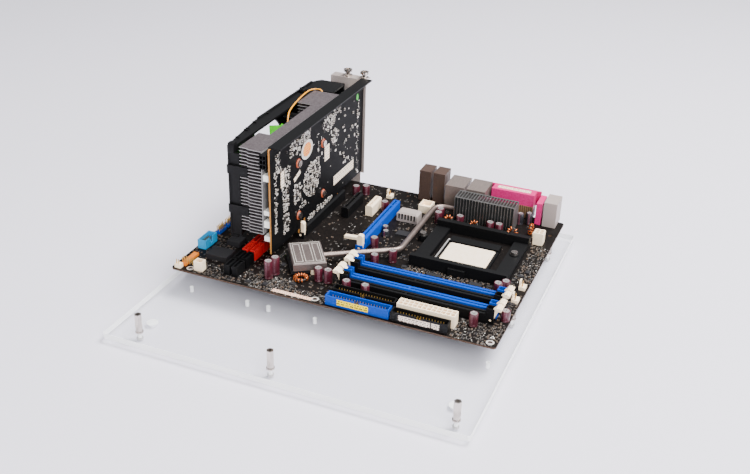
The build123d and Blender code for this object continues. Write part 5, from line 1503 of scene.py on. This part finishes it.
@dataclass
class ThumbScrews:
    """Two slotted thumb screws that stand on the bracket's tab, in board millimetres."""

    places: tuple[Pair, ...] = ((61.0, 252.5), (79.6, 252.5))
    base: float = 113.5
    height: float = 7.2
    radius: float = 4.6
    cuts: tuple[float, ...] = (1.5, 1.9, 4.6, 5.1)
    waist: float = 0.6
    notch: float = 0.82
    slots: int = 8

    def build(self) -> None:
        """Turn one screw and copy it."""
        pair = copies(self.screw(), (place_at(x, y, self.base) for x, y in self.places))
        joined = join("slotted_thumb_screws", pair)
        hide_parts("thumb_screws")
        report(joined)

    def screw(self) -> Piece:
        """Model one screw at the origin: shank, flange, waist and slotted crown."""
        screw = start_disc(
            "screw", (0.0, 0.0, self.height / 2 * MM), self.radius, self.height, 4 * self.slots
        )
        with shaping(screw):
            for height in self.cuts:
                cut_across(screw, 2, height)
        for vertex in screw.data.vertices:
            angle = math.atan2(vertex.co.y, vertex.co.x)
            if 1.7 * MM < vertex.co.z < 4.8 * MM:
                vertex.co.xy *= self.waist
            elif vertex.co.z > 4.9 * MM and math.cos(self.slots * angle) < -0.5:
                vertex.co.xy *= self.notch
        inset_top(screw, 1.3, 0.9)
        dress(screw, NICKEL)
        smooth(screw, 30.0)
        # The screwdriver slot is a dark bar of painted shade in the sunk top.
        slot = start_block("slot", (0.0, 0.0, (self.height - 0.8) * MM), (6.4, 1.0, 0.3))
        round_edges(slot, 0.08)
        dress(slot, IRON_CORE_AND_GROOVE_SHADE)
        shank = start_disc("shank", (0.0, 0.0, -1.9 * MM), 1.7, 3.9, 16)
        round_edges(shank, 0.3)
        dress(shank, NICKEL)
        return join("screw", [screw, slot, shank])


# Small soldered parts and print


class Carrier(Enum):
    """The face that small parts stand on: its CAD node and its place on its own axis."""

    BOARD_TOP_FACE = ("main_board", 0.0)
    CARD_BACK_FACE = ("card_board", 81.19)

    @property
    def node(self) -> str:
        """The CAD node that carries the parts."""
        return self.value[0]

    def place(self, u: float, v: float, turn: float) -> Matrix:
        """Return where a part modelled at the origin goes.

        Args:
            u: Place along the face, in board millimetres.
            v: Place up the face, in board millimetres.
            turn: The part's turn on the face, in radians.

        Returns:
            The place, in metres.
        """
        spin = Matrix.Rotation(turn, 4, "Z")
        if self is Carrier.BOARD_TOP_FACE:
            return place_at(u, v, self.value[1]) @ spin
        upright = Matrix(((0, 0, 1, 0), (1, 0, 0, 0), (0, 1, 0, 0), (0, 0, 0, 1)))
        return place_at(self.value[1], u, v) @ upright @ spin

    def out(self) -> Vector:
        """Return the direction that the face looks in."""
        return Vector((0, 0, 1)) if self is Carrier.BOARD_TOP_FACE else Vector((1, 0, 0))


@dataclass
class FreeSpace:
    """Tells where a carrier's face is bare, and remembers what has been put on it."""

    carrier: Carrier
    cell_mm: float = 0.4
    margin: float = 0.2
    reach: float = 0.4
    look: float = 0.5
    taken: set[tuple[int, int]] = field(default_factory=set)
    around: BVHTree | None = None
    face: BVHTree | None = None

    def __post_init__(self) -> None:
        """Gather the meshes that stand on or over the face."""
        points: list[Vector] = []
        faces: list[list[int]] = []
        for piece in bpy.context.scene.objects:
            if piece.type != "MESH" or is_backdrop(piece) or piece.name == self.carrier.node:
                continue
            start = len(points)
            points.extend(vertex.co.copy() for vertex in piece.data.vertices)
            faces.extend([start + i for i in side.vertices] for side in piece.data.polygons)
        self.around = BVHTree.FromPolygons(points, faces)
        mesh = bpy.data.objects[self.carrier.node].data
        self.face = BVHTree.FromPolygons(
            [vertex.co.copy() for vertex in mesh.vertices],
            [list(polygon.vertices) for polygon in mesh.polygons],
        )

    def claim(self, u: float, v: float, half: Pair, height: float) -> bool:
        """Take a rectangle of the face if nothing stands there.

        Args:
            u: The rectangle's middle along the face, in board millimetres.
            v: Its middle up the face.
            half: Its half sizes.
            height: How high the new part stands.

        Returns:
            True where it was free and is now taken.
        """
        cells = self.cells(u, v, half)
        if cells & self.taken or not self.is_bare(u, v, half, height):
            return False
        self.taken |= cells
        return True

    def cells(self, u: float, v: float, half: Pair) -> set[tuple[int, int]]:
        """Find the cells of a fine grid that a rectangle touches.

        Args:
            u: The rectangle's middle along the face, in board millimetres.
            v: Its middle up the face.
            half: Its half sizes.

        Returns:
            The cells' numbers along and up the face.
        """
        low_u, high_u = (math.floor((u + side * half[0]) / self.cell_mm) for side in (-1, 1))
        low_v, high_v = (math.floor((v + side * half[1]) / self.cell_mm) for side in (-1, 1))
        return {(i, j) for i in range(low_u, high_u + 1) for j in range(low_v, high_v + 1)}

    def is_bare(self, u: float, v: float, half: Pair, height: float) -> bool:
        """Tell whether the face is there under a rectangle and nothing is over it.

        Args:
            u: The rectangle's middle along the face, in board millimetres.
            v: Its middle up the face.
            half: Its half sizes.
            height: How high the new part stands.

        Returns:
            True where the middle and the four corners are all bare.
        """
        out = self.carrier.out()
        for side_u, side_v in ((0, 0), (-1, -1), (1, -1), (-1, 1), (1, 1)):
            place = self.carrier.place(
                u + side_u * (half[0] + self.margin), v + side_v * (half[1] + self.margin), 0.0
            ).translation
            start = place - out * self.reach * MM
            if self.around.ray_cast(start, out, (height + 2 * self.reach) * MM)[0] is not None:
                return False
            above = place + out * self.look * MM
            if self.face.ray_cast(above, -out, (self.look + 0.1) * MM)[0] is None:
                return False
        return True


@dataclass(frozen=True)
class PartKind:
    """One kind of small part: sizes, body, tinned ends, and legs on its long sides."""

    name: str
    size: Point
    body: Finish
    cap: float = 0.0
    legs: int = 0
    tin: Finish = TINNED

    def build(self) -> Piece:
        """Model the part at the origin, standing on its lower face."""
        length, width, height = self.size
        part = start_block(self.name, (0.0, 0.0, height / 2 * MM), self.size)
        if self.cap:
            with shaping(part):
                for side in (-1, 1):
                    cut_across(part, 0, side * (length / 2 - self.cap))
        else:
            round_edges(part, 0.12 * height)
        dress(part, self.body)
        if self.cap:
            limit = (length / 2 - self.cap) * MM
            dress_part(part, self.tin, lambda middle, normal: abs(middle.x) > limit)
        return join(self.name, [part, *self.leg_rows()])

    def leg_rows(self) -> list[Piece]:
        """Model the legs along both long sides, each bent down to the board."""
        length, width, height = self.size
        legs = []
        for index in range(self.legs):
            x = ((index + 0.5) / self.legs - 0.5) * length * LEG_SPREAD
            for side in (-1, 1):
                middle = (x * MM, side * (width / 2 + 0.35) * MM, height * LEG_RISE / 2 * MM)
                leg = start_block("leg", middle, (*LEG_SIZE, height * LEG_RISE))
                with shaping(leg):
                    pick_faces(leg, lambda place, normal, s=side: normal.y * s > FACING)
                    bpy.ops.transform.resize(
                        value=(1.0, 1.0, 0.4), center_override=(x * MM, middle[1], 0.0)
                    )
                legs.append(dress(leg, self.tin))
        return legs


TAN_CHIP = PartKind("tan_capacitor", (2.2, 1.3, 1.0), CERAMIC, cap=0.5, tin=DULL_TIN)
SMALL_TAN_CHIP = PartKind("small_tan_part", (1.6, 0.9, 0.7), CERAMIC, cap=0.4, tin=DULL_TIN)
BLACK_CHIP = PartKind("black_resistor", (2.1, 1.25, 0.5), CHIP_EPOXY, cap=0.5, tin=DULL_TIN)
RESISTOR_ROW = PartKind("resistor_row", (3.3, 1.6, 0.6), CHIP_EPOXY, legs=4, tin=DULL_TIN)
SMALL_CIRCUIT = PartKind("small_circuit", (5.0, 3.9, 1.5), CHIP_EPOXY, legs=4, tin=DULL_TIN)
DULL_PAD = PartKind("dull_tin_pad", (1.5, 1.2, 0.25), DULL_TIN)
BRIGHT_CHIP = PartKind("bright_capacitor", (2.2, 1.4, 1.0), CERAMIC, cap=0.6)
BRIGHT_PAD = PartKind("bright_pad", (1.7, 1.3, 0.25), TINNED)
LARGE_PAD = PartKind("large_tin_pad", (3.2, 2.0, 0.3), TINNED)
GREY_BAR = PartKind("grey_print_bar", (3.0, 0.4, 0.05), GREY_PRINT)
GREY_DASH = PartKind("grey_print_dash", (1.3, 0.5, 0.05), GREY_PRINT)
WHITE_BAR = PartKind("white_print_bar", (3.4, 0.7, 0.05), WHITE_PRINT)
WHITE_DASH = PartKind("white_print_dash", (1.3, 0.6, 0.05), WHITE_PRINT)

BOARD_KINDS = (
    (TAN_CHIP, 4),
    (SMALL_TAN_CHIP, 5),
    (BLACK_CHIP, 7),
    (RESISTOR_ROW, 4),
    (SMALL_CIRCUIT, 2),
    (DULL_PAD, 2),
)
CARD_KINDS = (
    (BRIGHT_CHIP, 4),
    (BLACK_CHIP, 2),
    (RESISTOR_ROW, 1),
    (BRIGHT_PAD, 4),
    (LARGE_PAD, 4),
)
BOARD_PRINT = ((GREY_BAR, 4), (GREY_DASH, 5), (WHITE_DASH, 1))
CARD_PRINT = ((WHITE_BAR, 2), (WHITE_DASH, 5))


@dataclass(frozen=True)
class Area:
    """A patch of a carrier: its middle and half sizes, and how much stands on it."""

    u: float
    v: float
    half_u: float
    half_v: float
    parts: int
    marks: int = 0
    oval: bool = False


BOARD_AREAS = (
    Area(284.0, 16.0, 20.0, 15.0, 85, 50),
    Area(297.0, 60.0, 6.5, 28.0, 36, 20),
    Area(296.0, 140.0, 8.0, 42.0, 100, 40),
    Area(240.0, 90.0, 50.0, 7.0, 100, 50),
    Area(238.0, 190.0, 54.0, 7.0, 60, 20),
    Area(172.0, 140.0, 20.0, 40.0, 50, 14),
    Area(60.0, 12.0, 44.0, 11.0, 80, 60),
    Area(96.0, 14.0, 18.0, 12.0, 70, 60),
    Area(36.0, 40.0, 34.0, 34.0, 90, 40),
    Area(110.0, 46.0, 40.0, 34.0, 90, 24),
    Area(116.0, 8.0, 36.0, 7.0, 16, 50),
    Area(114.0, 140.0, 30.0, 60.0, 34, 40),
    Area(40.0, 150.0, 38.0, 90.0, 60, 20),
    Area(150.0, 220.0, 60.0, 22.0, 60, 12),
    Area(152.0, 122.0, 152.0, 121.0, 70, 16),
)
CARD_AREAS = (
    Area(124.3, 53.2, 18.5, 18.0, 190, 0, True),
    Area(70.5, 74.5, 8.0, 11.0, 40, 2),
    Area(69.8, 54.4, 5.0, 11.0, 40, 4),
    Area(70.3, 30.7, 6.0, 9.5, 46, 4),
    Area(93.7, 51.5, 7.0, 9.5, 44, 6),
    Area(90.1, 97.8, 11.0, 6.5, 50, 4),
    Area(111.0, 101.2, 9.0, 4.5, 26, 4),
    Area(161.0, 97.4, 14.0, 7.5, 80, 4, True),
    Area(176.4, 77.3, 8.0, 8.5, 36, 4, True),
    Area(181.7, 103.4, 7.0, 4.0, 18, 4),
    Area(142.0, 14.4, 27.0, 2.6, 56, 6),
    Area(55.9, 96.0, 5.0, 9.0, 18, 4),
    Area(51.0, 60.0, 2.6, 30.0, 26, 10),
    Area(103.0, 34.3, 8.0, 2.4, 4, 10),
    Area(150.0, 78.0, 16.0, 16.0, 6, 8),
    Area(205.0, 62.0, 34.0, 38.0, 26, 12),
    Area(233.5, 55.0, 2.4, 42.0, 24, 8),
    Area(142.0, 62.0, 96.0, 48.0, 12, 14),
)


@dataclass
class SmallParts:
    """Small parts and print spread over a carrier, from a fixed seed."""

    name: str
    carrier: Carrier
    areas: tuple[Area, ...]
    kinds: tuple[tuple[PartKind, int], ...]
    marks: tuple[tuple[PartKind, int], ...]
    seed: int
    tries: int = 5
    pieces: list[Piece] = field(default_factory=list)
    patterns: dict[str, Piece] = field(default_factory=dict)

    def build(self) -> None:
        """Fill the areas one after another and join what stands on them."""
        luck = random.Random(self.seed)
        space = FreeSpace(self.carrier)
        for area in self.areas:
            self.fill(area, area.parts, self.kinds, space, luck)
            self.fill(area, area.marks, self.marks, space, luck)
        for pattern in self.patterns.values():
            drop_pattern(pattern)
        report(join(self.name, self.pieces))

    def fill(
        self,
        area: Area,
        count: int,
        kinds: Iterable[tuple[PartKind, int]],
        space: FreeSpace,
        luck: random.Random,
    ) -> None:
        """Stand parts of several kinds on an area, as many as find room.

        Args:
            area: The area.
            count: How many parts are wanted.
            kinds: The kinds, each with its share.
            space: What is bare.
            luck: The seeded source of chance.
        """
        choices = [kind for kind, share in kinds for _ in range(share)]
        placed = 0
        for _ in range(count * self.tries):
            if placed >= count:
                return
            kind = luck.choice(choices)
            across = luck.random() < 0.5
            u, v = self.spot(area, luck)
            length, width = kind.size[0], kind.size[1] + (LEG_ROOM if kind.legs else 0.0)
            half = (width / 2, length / 2) if across else (length / 2, width / 2)
            if not space.claim(u, v, half, kind.size[2]):
                continue
            if kind.name not in self.patterns:
                self.patterns[kind.name] = kind.build()
            place = self.carrier.place(u, v, math.pi / 2 if across else 0.0)
            self.pieces.append(copy_at(self.patterns[kind.name], place))
            placed += 1

    def spot(self, area: Area, luck: random.Random) -> Pair:
        """Pick a place on an area, on a half millimetre grid as a layout has it.

        Args:
            area: The area.
            luck: The seeded source of chance.

        Returns:
            The place, in board millimetres.
        """
        while True:
            a, b = luck.uniform(-1.0, 1.0), luck.uniform(-1.0, 1.0)
            if not area.oval or a * a + b * b <= 1.0:
                break
        u = area.u + a * area.half_u
        v = area.v + b * area.half_v
        return (round(u * 2) / 2, round(v * 2) / 2)


# Studio


@dataclass
class Studio:
    """Pale floor, soft lamps and the camera of the photograph."""

    floor_size: float = 8.0
    camera_place: Point = (0.303152, -0.732874, 0.476236)
    yaw: float = -0.3773
    pitch: float = 0.5041
    roll: float = -0.0336
    focal_px: float = 985.364
    centre_px: Pair = (374.889, 251.796)
    image_px: tuple[int, int] = (750, 474)
    sensor_mm: float = 36.0

    def build(self) -> None:
        """Build the floor, the lamps, the world and the camera."""
        self.floor()
        self.lamp("key_lamp", (0.75, 0.45, 1.9), 1.1, 134)
        self.lamp("front_fill", (1.3, -1.5, 1.3), 1.4, 84)
        self.lamp("left_fill", (-1.6, -0.9, 1.0), 1.4, 18)
        self.world()
        self.camera()

    def floor(self) -> None:
        """Lay a wide plain floor under the feet."""
        deselect()
        bpy.ops.mesh.primitive_plane_add(size=self.floor_size, location=(0, 0, 0))
        floor = bpy.context.object
        floor.name = "studio_floor"
        dress(floor, PAPER_FLOOR)
        floor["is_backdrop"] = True

    def lamp(self, name: str, place: Point, size: float, power: float) -> None:
        """Hang one soft square lamp that looks at the bench.

        Args:
            name: The lamp's name.
            place: Where it hangs, in metres.
            size: Its side, in metres.
            power: Its power, in watts.
        """
        data = bpy.data.lights.new(name, "AREA")
        data.shape = "SQUARE"
        data.size = size
        data.energy = power
        lamp = bpy.data.objects.new(name, data)
        bpy.context.collection.objects.link(lamp)
        lamp.location = place
        aim = Vector((0, 0, 0.05)) - Vector(place)
        lamp.rotation_euler = aim.to_track_quat("-Z", "Y").to_euler()

    def world(self) -> None:
        """Set an even pale surrounding light."""
        world = bpy.data.worlds.new("pale_studio")
        bpy.context.scene.world = world
        world.use_nodes = True
        background = world.node_tree.nodes["Background"]
        background.inputs["Color"].default_value = linear("#E6E8EE")
        background.inputs["Strength"].default_value = 0.42

    def camera(self) -> None:
        """Set the camera where the photograph was taken, with its focal length and shift."""
        data = bpy.data.cameras.new("photo_camera")
        camera = bpy.data.objects.new("photo_camera", data)
        bpy.context.collection.objects.link(camera)
        width, height = self.image_px
        data.sensor_width = self.sensor_mm
        data.lens = self.focal_px * self.sensor_mm / width
        data.shift_x = (width / 2 - self.centre_px[0]) / width
        data.shift_y = (self.centre_px[1] - height / 2) / width
        data.clip_start = 0.01
        data.clip_end = 50
        flat = math.cos(self.pitch)
        sideways, forwards = math.sin(self.yaw) * flat, math.cos(self.yaw) * flat
        ahead = Vector((sideways, forwards, -math.sin(self.pitch)))
        level = Vector((math.cos(self.yaw), -math.sin(self.yaw), 0))
        down = ahead.cross(level)
        right = level * math.cos(self.roll) + down * math.sin(self.roll)
        below = down * math.cos(self.roll) - level * math.sin(self.roll)
        turn = Matrix((right, -below, -ahead)).transposed()
        camera.matrix_world = Matrix.Translation(self.camera_place) @ turn.to_4x4()
        bpy.context.scene.camera = camera


# The fan's wire


@dataclass
class FanWire:
    """Yellow wire from the fan's motor over the fins to its header on the card."""

    diameter_mm: float = 1.5
    length_mm: float = 152.0
    route: tuple[Point, ...] = (
        (56.2, 122.7, 77.0),
        (56.2, 122.7, 111.6),
        (47.5, 150.0, 111.6),
        (41.2, 197.0, 111.6),
        (46.2, 206.4, 111.6),
        (54.5, 205.2, 111.6),
        (54.5, 205.2, 101.0),
        (73.4, 205.2, 101.0),
    )

    def build(self) -> None:
        """Draw the wire as one smooth curve in place of its CAD node."""
        wire = start_curve("fan_wire_run", self.route, self.diameter_mm / 2, 16, 3)
        dress(wire, YELLOW_WIRE)
        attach(wire, ROOT)
        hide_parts("fan_wire")
        LOG.info("%s: %.0f mm long", wire.name, self.length_mm)


def main() -> None:
    """Load the frame, dress it, build the pieces and set the studio."""
    logging.basicConfig(level=logging.INFO, format="%(name)s: %(message)s")
    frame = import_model()
    deselect()
    dress_nodes(frame["nodes"])
    Studio().build()
    FanWire().build()
    CanGroup(
        "sleeved_cans_maroon", "maroon_capacitors", MAROON_SLEEVE, 3.85, MAROON_CAN_PLACES
    ).build()
    CanGroup("sleeved_cans_dark", "dark_capacitors", DARK_SLEEVE, 3.15, DARK_CAN_PLACES).build()
    Coils().build()
    HeatPipe().build()
    Pins().build()
    Labels().build()
    CardWashers().build()
    ChipsetMarks().build()
    BoardMarks().build()
    # The dark backs behind the regulator's fins and the grey block's slots are painted shade.
    Comb(
        "regulator_fin_fronts", 202.0, 263.0, 197.88, 2.1, 27.2, 21, 0.8, SHADE_SHEET_IN_GAPS, ALUMINIUM
    ).build()
    Comb(
        "wide_port_tails", 245.0, 272.4, 237.35, 0.4, 13.6, 13, 1.2, BROWN_BASE, BRASS_TAILS
    ).build()
    Comb(
        "grey_block_slots", 150.2, 171.0, 175.85, 2.6, 8.6, 7, 1.5, SHADE_SHEET_IN_GAPS, GREY_PLASTIC, 0.5
    ).build()
    CoverTrim().build()
    ThumbScrews().build()
    SmallParts(
        "board_small_parts", Carrier.BOARD_TOP_FACE, BOARD_AREAS, BOARD_KINDS, BOARD_PRINT, 11
    ).build()
    SmallParts(
        "card_small_parts", Carrier.CARD_BACK_FACE, CARD_AREAS, CARD_KINDS, CARD_PRINT, 12
    ).build()


if __name__ == "__main__":
    main()
